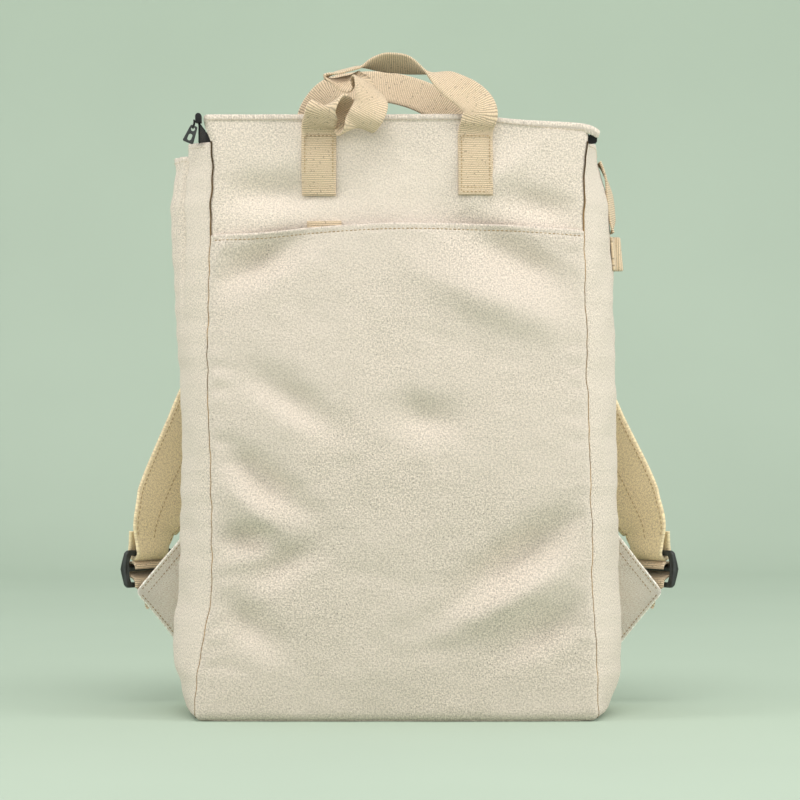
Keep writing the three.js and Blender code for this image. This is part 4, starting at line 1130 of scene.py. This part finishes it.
class BACKPACK_OT_seams(bpy.types.Operator):
    """Painted seam shade as dark tubes in the side seams' grooves, and the stitches of the hems and the
    pocket
    """

    bl_idname = "backpack.seams"
    bl_label = "Seams and stitches"

    def execute(self, context):
        heights = np.linspace(2.5, GUSSET_HEIGHT + 1.5, 150)
        for side, word in SIDES:
            # Thin dark tubes along the front and back side seams: painted shade of the seam grooves, not
            # thread
            edge = front_face(np.full_like(heights, side), heights, 0)
            edge[:, 0] += side * 0.3
            edge[:, 1] += 1.2
            made_piece("seam_shade_line_" + word, tube(edge, 0.55), "seam", "canvas")
            back = plain_back(np.full_like(heights, side), heights)
            back[:, 0] += side * 0.2
            back[:, 1] -= 1.4
            made_piece("back_seam_shade_line_" + word, tube(back, 0.8), "seam", "canvas")
        shares = np.linspace(-0.985, 0.985, 160)
        outward = np.tile([0.0, -1.0, 0.0], (len(shares), 1))
        pocket = pocket_face(shares, POCKET_HEIGHT + POCKET_RISE(shares) - POCKET_STITCH)
        pocket[:, 1] += 0.3
        sew("pocket_hem_thread", "canvas", "tan_thread", [(pocket, outward)], 3.1)
        rows = []
        for side in (-1, 1):
            along = np.linspace(0.03, 0.97, 60)
            row = gusset_face(side, along, gusset_top(side, along) - 3.0)
            rows.append((row, np.tile([float(side), 0, 0], (len(along), 1))))
        sew("gusset_hem_thread", "canvas", "thread", rows, 3.2)
        hem = front_face(shares, top_edge(shares) - 0.62 * HEM_HEIGHT, 0)
        hem[:, 1] += WALL + GAP + WALL / 2 - HEM_THICK / 2 + 0.1
        sew("top_hem_thread", "canvas", "thread", [(hem, outward)], 2.9, thick=0.5)
        return {"FINISHED"}


def spot(face, across, z):
    """One place of a face"""
    return face(np.float64(across), np.float64(z))


def foot_rows(face, x, low, high, thickness, outward):
    """Rows of a foot that is sewn flat to a panel, from its low end to its high end"""
    stand = FOOT_STAND + thickness / 2
    shift = 6 / HALF_WIDTH
    rows = []
    for z in (low, (low + high) / 2, high):
        across = across_at(x, z)
        at = spot(face, across, z)
        wide = spot(face, across + shift, z) - spot(face, across - shift, z)
        at[1] += outward * stand
        rows.append((at, wide))
    return rows


def arch_rows(turns, grip, face_y):
    """Rows of a handle's free part, from its table of turns"""
    rows = []
    for turn in turns:
        at = np.array([grip.centre + turn.across * grip.half_span, face_y + turn.out * grip.flop,
                       HEIGHT + turn.up * grip.rise])
        rows.append((at, np.array([turn.wx, turn.wy, turn.wz], float)))
    return rows


def handle_rows(turns, grip, face, outward):
    """Rows of a whole handle: one foot up, the free part, and the other foot down"""
    high = HEIGHT - FOOT_TOP
    low = high - FOOT_LENGTH
    feet = []
    for side in (-1, 1):
        foot = foot_rows(face, grip.centre + side * grip.half_span, low, high, WEBBING_THICK, outward)
        if outward > 0:
            foot = [(at, wide * (-side)) for at, wide in foot]
        feet.append(foot)
    rows = feet[0] + arch_rows(turns, grip, feet[0][2][0][1]) + feet[1][::-1]
    return [Row(at, wide, WEBBING) for at, wide in rows]


class BACKPACK_OT_handles(bpy.types.Operator):
    """Front and back webbing handles with their box stitches"""

    bl_idname = "backpack.handles"
    bl_label = "Webbing handles"

    def execute(self, context):
        front = Band(handle_rows(FRONT_HANDLE, FRONT_GRIP, calm_front, -1), WEBBING_THICK, 420)
        made_piece("front_handle_webbing", front.mesh(8), "webbing", "webbing", "handle_front")
        back = Band(handle_rows(BACK_ARCH, BACK_GRIP, plain_back, 1), WEBBING_THICK, 240)
        made_piece("back_handle_webbing", back.mesh(8), "webbing", "webbing", "handle_back")
        thread = []
        for face, grip, outward in ((calm_front, FRONT_GRIP, -1), (plain_back, BACK_GRIP, 1)):
            for side in (-1, 1):
                thread += self.box(face, grip.centre + side * grip.half_span, outward)
        sew("handle_box_thread", "webbing", "tan_thread", thread, 2.6)
        return {"FINISHED"}

    def box(self, face, x, outward):
        """Stitches round a handle's foot, and a second row over its end"""
        high = HEIGHT - FOOT_TOP - 3
        low = HEIGHT - FOOT_TOP - FOOT_LENGTH + 2.6
        half = WEBBING / 2 - 2.4
        stand = outward * (FOOT_STAND + WEBBING_THICK)
        corners = [(-half, low), (half, low), (half, high), (-half, high), (-half, low)]
        seconds = [(-half, low + 3.4), (half, low + 3.4)]
        lines = []
        for path in (corners, seconds):
            for (x0, z0), (x1, z1) in zip(path, path[1:]):
                shares = np.linspace(0, 1, 12)
                z = z0 + (z1 - z0) * shares
                at = face(across_at(x + x0 + (x1 - x0) * shares, z), z)
                at[:, 1] += stand
                lines.append((at, np.tile([0.0, float(outward), 0.0], (12, 1))))
        return lines


class BACKPACK_OT_tabs(bpy.types.Operator):
    """Pocket tab, and the handle and loop on the right gusset"""

    bl_idname = "backpack.tabs"
    bl_label = "Side handle and tabs"

    def execute(self, context):
        tab = foot_rows(calm_front, POCKET_TAB_X, POCKET_HEIGHT - 18, POCKET_HEIGHT + 6.5, WALL, -1)
        band = Band([Row(at, wide, WEBBING) for at, wide in tab], WALL, 20)
        made_piece("pocket_tab_webbing", band.mesh(8), "webbing", "webbing", "pocket_tab")
        side = self.handle()
        self.loop()
        self.handle_thread(side)
        return {"FINISHED"}

    def handle(self):
        """The handle hugs the gusset and twists a little between its sewn ends"""
        def over(z, stand, twist=0):
            at = gusset_face(1, np.float64(0.5), np.float64(z))
            at[0] += GAP + WEBBING_THICK / 2 + stand + 0.4
            turn = math.radians(twist)
            return Row(at, np.array([math.sin(turn), math.cos(turn), 0.0]), WEBBING)

        top, foot = SIDE_HANDLE_TOP, SIDE_HANDLE_FOOT
        rows = [over(top, 0), over(top - 4, 1.2, 3), over(mix(top, foot, 0.25), 2.2, 6),
                over(mix(top, foot, 0.5), 1.0, 14), over(mix(top, foot, 0.8), 0.8, 13),
                over(foot + 3, 0.2, 5), over(foot, 0)]
        side = Band(rows, WEBBING_THICK, 90)
        made_piece("side_handle_webbing", side.mesh(8), "webbing", "webbing", "side_handle")
        return side

    def loop(self):
        """The loop stands out from the gusset with its webbing upright"""
        rows = []
        for y, stand in SIDE_LOOP:
            along = np.float64(0.5 + y / LOOP_SPREAD)
            low, at, high = (gusset_face(1, along, np.float64(LOOP_HEIGHT + up)) for up in (-10, 0, 10))
            wide = high - low
            at[0] += GAP + WEBBING_THICK / 2 + stand + 0.5
            rows.append(Row(at, wide, WEBBING))
        band = Band(rows, WEBBING_THICK, 160)
        made_piece("side_loop_webbing", band.mesh(8), "webbing", "webbing", "side_loop_tab")

    def handle_thread(self, side):
        """Stitches round both sewn ends of the side handle"""
        lines = []
        for start, stop in ((0.01, 0.13), (0.87, 0.99)):
            for share in (-0.8, 0.8):
                lines.append(side.line(share, -WEBBING_THICK / 2, start, stop))
        across = np.linspace(-0.8, 0.8, 14)
        for row in (2, 11, 79, 88):
            at = np.array([side.at[row] + side.wide[row] * side.half[row] * share
                           - side.deep[row] * WEBBING_THICK / 2 for share in across])
            lines.append((at, np.tile(-side.deep[row], (len(across), 1))))
        outward = [(at, outs if np.mean(outs[:, 0]) > 0 else -outs) for at, outs in lines]
        sew("side_handle_thread", "webbing", "tan_thread", outward, 2.6)


def buckle_frame(side):
    """A ladder lock's middle, its width direction and the direction out of its plane"""
    turn = math.radians(BUCKLE_TURN)
    origin = np.array([side * STRAP_REACH, BUCKLE_BEHIND, BUCKLE_HEIGHT])
    wide = np.array([side * math.cos(turn), -math.sin(turn), 0])
    out = np.array([side * math.sin(turn), math.cos(turn), 0])
    return origin, wide, out


BAR_CORNER = math.hypot(BUCKLE_BAR, BUCKLE_THICK) / 2


class BACKPACK_OT_straps(bpy.types.Operator):
    """Shoulder straps with their stitch rows"""

    bl_idname = "backpack.straps"
    bl_label = "Shoulder straps"

    def rows(self, side):
        origin, wide, out = buckle_frame(side)
        foot = foot_rows(plain_back, side * STRAP_TOP_OUT, STRAP_TOP - STRAP_FOOT, STRAP_TOP,
                         STRAP_THICK, 1)
        rows = [Row(at, across * side, STRAP_WIDTH) for at, across in foot[::-1]]
        for row in STRAP_ROWS:
            turn = math.radians(row.turn)
            reach = row.out if side < 0 else row.right_out
            at = np.array([side * reach * STRAP_REACH, BASE_DEPTH / 2 + row.back * STRAP_BOW,
                           row.up * HEIGHT])
            rows.append(Row(at, np.array([side * math.cos(turn), -math.sin(turn), 0]), STRAP_WIDTH))
        bar = BAR_CORNER + GAP + STRAP_THICK / 2
        for inward, lean, up, width in ((3.0, 0.25, 21, 47), (1.0, 0.12, 13, 42)):
            at = origin - out * bar * 0.9 - wide * inward + UP * (BAR_PITCH + up)
            rows.append(Row(at, wide + UP * lean, width))
        ends = [(-bar, 6, 36), (-bar, 0, 33), (-bar * 0.7, -bar * 0.7, 33), (0, -bar, 33),
                (bar * 0.7, -bar * 0.7, 33), (bar, 0, 33), (bar * 0.8, STRAP_TAIL * 0.35, 34),
                (bar * 0.5, STRAP_TAIL * 0.8, 36)]
        for away, up, width in ends:
            rows.append(Row(origin + out * away + UP * (BAR_PITCH + up), wide, width))
        return rows

    def execute(self, context):
        for side, word in SIDES:
            band = Band(self.rows(side), STRAP_THICK, 300)
            # The strap finish is the straps' own tan made lighter: partly painted light
            made_piece("shoulder_strap_" + word, band.mesh(10), "strap", "strap_cloth", "strap_" + word)
            lines = [band.line(share, sign * STRAP_THICK / 2, 0.02, 0.62)
                     for share in (-0.86, 0.0, 0.86) for sign in (-1, 1)]
            sew("strap_thread_" + word, "strap_cloth", "strap_thread", lines, 4.0, thick=0.95)
        return {"FINISHED"}


def wing_place(side, share, z, behind):
    """A place on a wing, from its root (0) to its tip (1), or so far behind its face"""
    turn = math.radians(WING.turn)
    root_x = np.abs(seam_x(side, z)) + 2 * GAP
    root_y = half_depth(z) - WALL + GAP
    x = mix(root_x, HALF_WIDTH + WING.reach, share)
    y = root_y - (x - root_x) * math.tan(turn)
    return place_of(side * (x + behind * math.sin(turn)), y + behind * math.cos(turn), z)


def wing_edge(share, low):
    """Height of a wing's lower or upper edge"""
    root = WING.bottom if low else WING.top
    tip = WING.tip + (-1 if low else 1) * (WING.tip_cut / 2)
    return mix(root, tip, share)


class BACKPACK_OT_wings(bpy.types.Operator):
    """Cloth wings and the lower webbing that runs through the buckles"""

    bl_idname = "backpack.wings"
    bl_label = "Wings and lower webbing"

    def lower_rows(self, side):
        """From behind the wing's tip up to the lock's lower bar, and round it to a short tail"""
        origin, wide, out = buckle_frame(side)
        turn = math.radians(WING.turn)
        wing_wide = np.array([side * math.cos(turn), -math.sin(turn), 0])
        stand = WING.thick + GAP + WEBBING_THICK
        round_bar = BAR_CORNER + GAP + WEBBING_THICK / 2
        middle = mix(LOWER_END, LOWER_WIDTH, 0.2)
        rows = [Row(wing_place(side, 0.74, WING.tip - 9, stand), wing_wide, LOWER_END),
                Row(wing_place(side, 0.77, WING.tip - 5, stand), wing_wide, LOWER_END),
                Row(origin - out * round_bar * 1.2 - UP * BAR_PITCH * 1.35, wide, middle)]
        over = math.hypot(BUCKLE_BAR, BUCKLE_THICK + BUCKLE_TOOTH) / 2 + GAP + WEBBING_THICK / 2
        ends = [(-round_bar, -BAR_PITCH * 1.1), (-round_bar, -BAR_PITCH * 0.9),
                (-round_bar * 0.6, -BAR_PITCH * 0.65), (round_bar * 0.2, -BAR_PITCH * 0.5)]
        for angle in (-55, -20, 20, 55, 90):
            turned = math.radians(angle)
            ends.append((BUCKLE_TOOTH / 2 + over * math.cos(turned), over * math.sin(turned)))
        ends += [(-round_bar, over), (-round_bar * 1.6, over * 0.6), (-round_bar * 1.8, 0)]
        for away, up in ends:
            bend = BUCKLE_BEND if abs(up) < BAR_PITCH / 2 else 0
            rows.append(Row(origin + out * (away + bend) + UP * up, wide, LOWER_WIDTH))
        return rows

    def execute(self, context):
        for side, word in SIDES:
            def face(u, v, side=side):
                z = mix(wing_edge(u, True), wing_edge(u, False), v)
                place = wing_place(side, u, z, 0)
                ripple = waves(u * 60, z, 40, 51 + side) * 0.35 * np.sin(math.pi * np.clip(v, 0, 1))
                place[..., 1] += ripple * np.sin(math.pi * np.clip(u, 0, 1))
                return place
            wall = cloth_wall(face, 40, 60, WING.thick, -side, (WING.reach, WING.top - WING.bottom))
            # The wings' canvas is a lightened copy of the body canvas: painted light
            piece = made_piece("wing_cloth_" + word, wall, "wings_painted_light", "strap_cloth", "wing_" + word)
            self.wing_thread(side, word)
            band = Band(self.lower_rows(side), WEBBING_THICK, 200)
            made_piece("lower_webbing_" + word, band.mesh(8), "webbing", "webbing",
                       "strap_webbing_" + word)
        return {"FINISHED"}

    def wing_thread(self, side, word):
        """Two rows along the wing's top hem and one along its lower edge"""
        turn = math.radians(WING.turn)
        out = np.array([-side * math.sin(turn), -math.cos(turn), 0])
        shares = np.linspace(0.06, 0.97, 40)
        lines = []
        for low, inset in ((False, 1.8), (False, 8.0), (True, 1.8)):
            room = wing_edge(shares, False) - wing_edge(shares, True)
            part = shares[room > 2.2 * inset]
            z = wing_edge(part, low) + (inset if low else -inset) * 1.3
            at = wing_place(side, part, z, 0)
            lines.append((at, np.tile(out, (len(part), 1))))
        sew("wing_thread_" + word, "strap_cloth", "tan_thread", lines, 3.0)


def rounded_copy(node, name, cloth, slot, width):
    """A hard node again, with its edges rounded; the copy is merged before it is bevelled"""
    source = bpy.data.objects[node]
    piece = source.copy()
    piece.data = source.data.copy()
    piece.name = name
    bpy.context.scene.collection.objects.link(piece)
    piece.data.materials.clear()
    piece.data.materials.append(finish(cloth))
    bpy.ops.object.select_all(action="DESELECT")
    piece.hide_set(False)
    piece.select_set(True)
    bpy.context.view_layer.objects.active = piece
    bpy.ops.object.mode_set(mode="EDIT")
    bpy.ops.mesh.select_all(action="SELECT")
    bpy.ops.mesh.remove_doubles(threshold=0.00002)
    bpy.ops.mesh.dissolve_limited(angle_limit=math.radians(1.0))
    bpy.ops.object.mode_set(mode="OBJECT")
    bevel = piece.modifiers.new("rounded", "BEVEL")
    bevel.width = width
    bevel.segments = 3
    bevel.limit_method = "ANGLE"
    bevel.angle_limit = math.radians(32)
    bevel.harden_normals = False
    bpy.ops.object.modifier_apply(modifier=bevel.name)
    bpy.ops.object.shade_smooth_by_angle(angle=math.radians(40))
    bpy.ops.object.select_all(action="DESELECT")
    dress(piece, slot, node)


class BACKPACK_OT_hardware(bpy.types.Operator):
    """Ladder-lock buckles, zip slider, bail and pull"""

    bl_idname = "backpack.hardware"
    bl_label = "Buckles and zip hardware"

    def execute(self, context):
        for word in ("left", "right"):
            rounded_copy("buckle_" + word, "ladder_lock_" + word, "plastic", "plastic", 0.0009)
        rounded_copy("zip_slider", "slider_body", "metal", "metal", 0.0005)
        rounded_copy("zip_pull", "pull_plate", "plastic", "plastic", 0.0004)
        wire = bpy.data.objects["zip_bail"]
        wire.data.materials.clear()
        wire.data.materials.append(finish("metal"))
        return {"FINISHED"}


class BACKPACK_OT_zip(bpy.types.Operator):
    """Black zip tapes with their coils"""

    bl_idname = "backpack.zip"
    bl_label = "Zip tapes"

    TAPE = 14.0  # the tape's width
    END = 5.2  # width of the front tape's folded end
    THICK = 1.2
    UNDER = 0.7  # gap between the tape and the wall before it

    def seated(self, face, across, z, stand, outward):
        at = spot(face, across, z)
        wide = spot(face, across, z + 6) - spot(face, across, z - 6)
        at[1] += outward * stand
        return Row(at, wide, self.TAPE)

    def execute(self, context):
        under = HEM_HEIGHT + 2 * GAP
        middle = under + self.TAPE / 2
        stand = WALL + self.UNDER + self.THICK / 2
        front = [self.seated(calm_front, a, float(top_edge(a)) - middle, -stand, -1)
                 for a in (-0.97, -0.6, -0.2, 0.2, 0.6, 0.9)]
        end = calm_front(np.float64(1), np.float64(float(top_edge(1)) - under - self.END / 2 - GAP))
        end[1] += stand + self.THICK
        end[2] -= 0.5
        for past, width in ((-0.2, 6.2), (0.35, 6.4), (0.62, 5.6), (0.72, 3.0)):
            front.append(Row(end + np.array([past * 10.0, 0, 0]), UP, width))
        slider_x = float(seam_x(-1, HEIGHT)) - GAP - 2.2
        back = [self.seated(plain_back, a, HEIGHT - middle, -stand, 1)
                for a in (0.97, 0.5, 0, -0.45, -0.75)]
        back.append(self.seated(plain_back, -0.9, HEIGHT - middle, -stand - 4.0, 1))
        depth = float(half_depth(HEIGHT))
        cross_top = GUSSET_HEIGHT + self.TAPE + 2 * GAP
        for share in (0.55, 0.2, -0.3, -0.9):
            at = np.array([slider_x, depth * share, cross_top - self.TAPE / 2])
            back.append(Row(at, UP, self.TAPE))
        for name, node, rows, steps in (("front_zip_cloth", "zip_tape_front", front, 120),
                                        ("back_zip_cloth", "zip_tape_back", back, 180)):
            band = Band(rows, self.THICK, steps)
            made_piece(name, band.mesh(6), "tape", "zip_tape", node)
            self.coil(name.replace("cloth", "coil"), band)
        return {"FINISHED"}

    def coil(self, name, band):
        """The coil along the tape's upper edge, as close-set beads"""
        upper = 1 if band.wide[0][2] > 0 else -1
        at, _ = band.line(0.96 * upper, 0.0)
        up = np.tile(UP, (len(at), 1))
        beads(name, "zip_tape", "metal", [(at, up)], 1.5, 1.25, 1.15, lean=math.radians(72))


# Places, aims and sizes in metres, power in watts
Lamp = namedtuple("Lamp", "name place aim size power")
LAMPS = [
    Lamp("overhead_softbox", (0.1, -0.7, 1.9), (0.0, 0.0, 0.2), (1.2, 0.6), 12),
    Lamp("right_softbox", (1.9, -0.8, 0.9), (0.0, 0.0, 0.25), (0.9, 1.2), 21),
    Lamp("left_softbox", (-1.9, -0.8, 0.9), (0.0, 0.0, 0.25), (0.9, 1.2), 16),
    Lamp("front_softbox", (0.0, -3.0, 1.2), (0.0, 0.0, 0.3), (3.0, 1.2), 12),
    Lamp("backdrop_softbox", (0.0, 1.2, 2.4), (0.0, 2.5, 0.7), (3.0, 0.5), 13),
]
LAMP_WHITE = (1.0, 0.99, 0.97)


class BACKPACK_OT_stage(bpy.types.Operator):
    """Pale green paper and soft lights"""

    bl_idname = "backpack.stage"
    bl_label = "Studio stage"

    def execute(self, context):
        self.paper()
        self.lights()
        return {"FINISHED"}

    def paper(self):
        """One sweep of paper: the floor, a wide curve and the wall behind"""
        front, bend_start, radius, top, half = -3.5, 1.6, 0.9, 4.0, 4.0
        profile = [(front, 0.0), (bend_start, 0.0)]
        bends = 16
        for k in range(1, bends + 1):
            turn = math.pi / 2 * k / bends
            profile.append((bend_start + radius * math.sin(turn), radius * (1 - math.cos(turn))))
        profile.append((bend_start + radius, top))
        points, faces = [], []
        for y, z in profile:
            points += [(-half / MM, y / MM, z / MM), (half / MM, y / MM, z / MM)]
        for k in range(len(profile) - 1):
            faces.append((2 * k, 2 * k + 1, 2 * k + 3, 2 * k + 2))
        look = Finish("pale_green_paper", roughness=0.95, specular=0.1)
        where = look.node("ShaderNodeTexCoord").outputs["Object"]
        soft = look.noise(where, 3.0, 2.0)
        tone = tuple(colours().floor)
        look.colour(look.blend(look.spread(soft, 0.3, 0.7), toned(tone, 0.985), toned(tone, 1.015)))
        mesh = bpy.data.meshes.new("studio_paper")
        mesh.from_pydata((np.array(points) * MM).tolist(), [], faces)
        mesh.polygons.foreach_set("use_smooth", [True] * len(mesh.polygons))
        mesh.materials.append(look.material)
        paper = bpy.data.objects.new("studio_paper", mesh)
        bpy.context.scene.collection.objects.link(paper)

    def lights(self):
        for lamp in LAMPS:
            data = bpy.data.lights.new(lamp.name, "AREA")
            data.shape = "RECTANGLE"
            data.size, data.size_y = lamp.size
            data.energy = lamp.power
            data.color = LAMP_WHITE
            made = bpy.data.objects.new(lamp.name, data)
            bpy.context.scene.collection.objects.link(made)
            made.location = lamp.place
            made.rotation_euler = look_along(np.array(lamp.aim, float) - np.array(lamp.place, float))
        bpy.context.scene.view_settings.view_transform = "Standard"
        world = bpy.data.worlds.new("soft_room")
        world.use_nodes = True
        sky = world.node_tree.nodes["Background"]
        sky.inputs["Color"].default_value = (1.0, 0.99, 1.0, 1.0)
        sky.inputs["Strength"].default_value = 0.74
        bpy.context.scene.world = world


def look_along(away):
    """The turn that points a lamp's or camera's own -Z along a direction, with its top up"""
    flat = math.hypot(away[0], away[1])
    return (math.atan2(flat, -away[2]), 0.0, math.atan2(-away[0], away[1]))


class BACKPACK_OT_camera(bpy.types.Operator):
    """Level camera in front of the backpack"""

    bl_idname = "backpack.camera"
    bl_label = "Camera"

    def execute(self, context):
        data = bpy.data.cameras.new("front_camera")
        data.sensor_width = 36.0
        data.lens = 126.0
        camera = bpy.data.objects.new("front_camera", data)
        bpy.context.scene.collection.objects.link(camera)
        camera.location = (0.0004, -2.065, 0.230)
        camera.rotation_euler = (math.radians(90), 0.0, 0.0)
        bpy.context.scene.camera = camera
        return {"FINISHED"}


class BACKPACK_PT_panel(bpy.types.Panel):
    """Sizes, colours and steps of the backpack"""

    bl_idname = "BACKPACK_PT_panel"
    bl_label = "Canvas Backpack"
    bl_space_type = "VIEW_3D"
    bl_region_type = "UI"
    bl_category = "Backpack"

    def draw(self, context):
        for group in (context.scene.backpack_sizes, context.scene.backpack_colours):
            for key in group.__annotations__:
                self.layout.prop(group, key)
        for step in STEPS:
            self.layout.operator(step.bl_idname)


STEPS = (
    BACKPACK_OT_camera, BACKPACK_OT_shell, BACKPACK_OT_hems, BACKPACK_OT_seams, BACKPACK_OT_handles,
    BACKPACK_OT_tabs, BACKPACK_OT_straps, BACKPACK_OT_wings, BACKPACK_OT_hardware, BACKPACK_OT_zip,
    BACKPACK_OT_stage,
)
CLASSES = (BackpackSizes, BackpackColours) + STEPS + (BACKPACK_PT_panel,)


def register():
    for made in CLASSES:
        bpy.utils.register_class(made)
    bpy.types.Scene.backpack_sizes = bpy.props.PointerProperty(type=BackpackSizes)
    bpy.types.Scene.backpack_colours = bpy.props.PointerProperty(type=BackpackColours)


def unregister():
    del bpy.types.Scene.backpack_sizes
    del bpy.types.Scene.backpack_colours
    for made in reversed(CLASSES):
        bpy.utils.unregister_class(made)


def main():
    register()
    bpy.ops.backpack.camera()
    bpy.ops.backpack.shell()
    bpy.ops.backpack.hems()
    bpy.ops.backpack.seams()
    bpy.ops.backpack.handles()
    bpy.ops.backpack.tabs()
    bpy.ops.backpack.straps()
    bpy.ops.backpack.wings()
    bpy.ops.backpack.hardware()
    bpy.ops.backpack.zip()
    bpy.ops.backpack.stage()


if __name__ == "__main__":
    main()
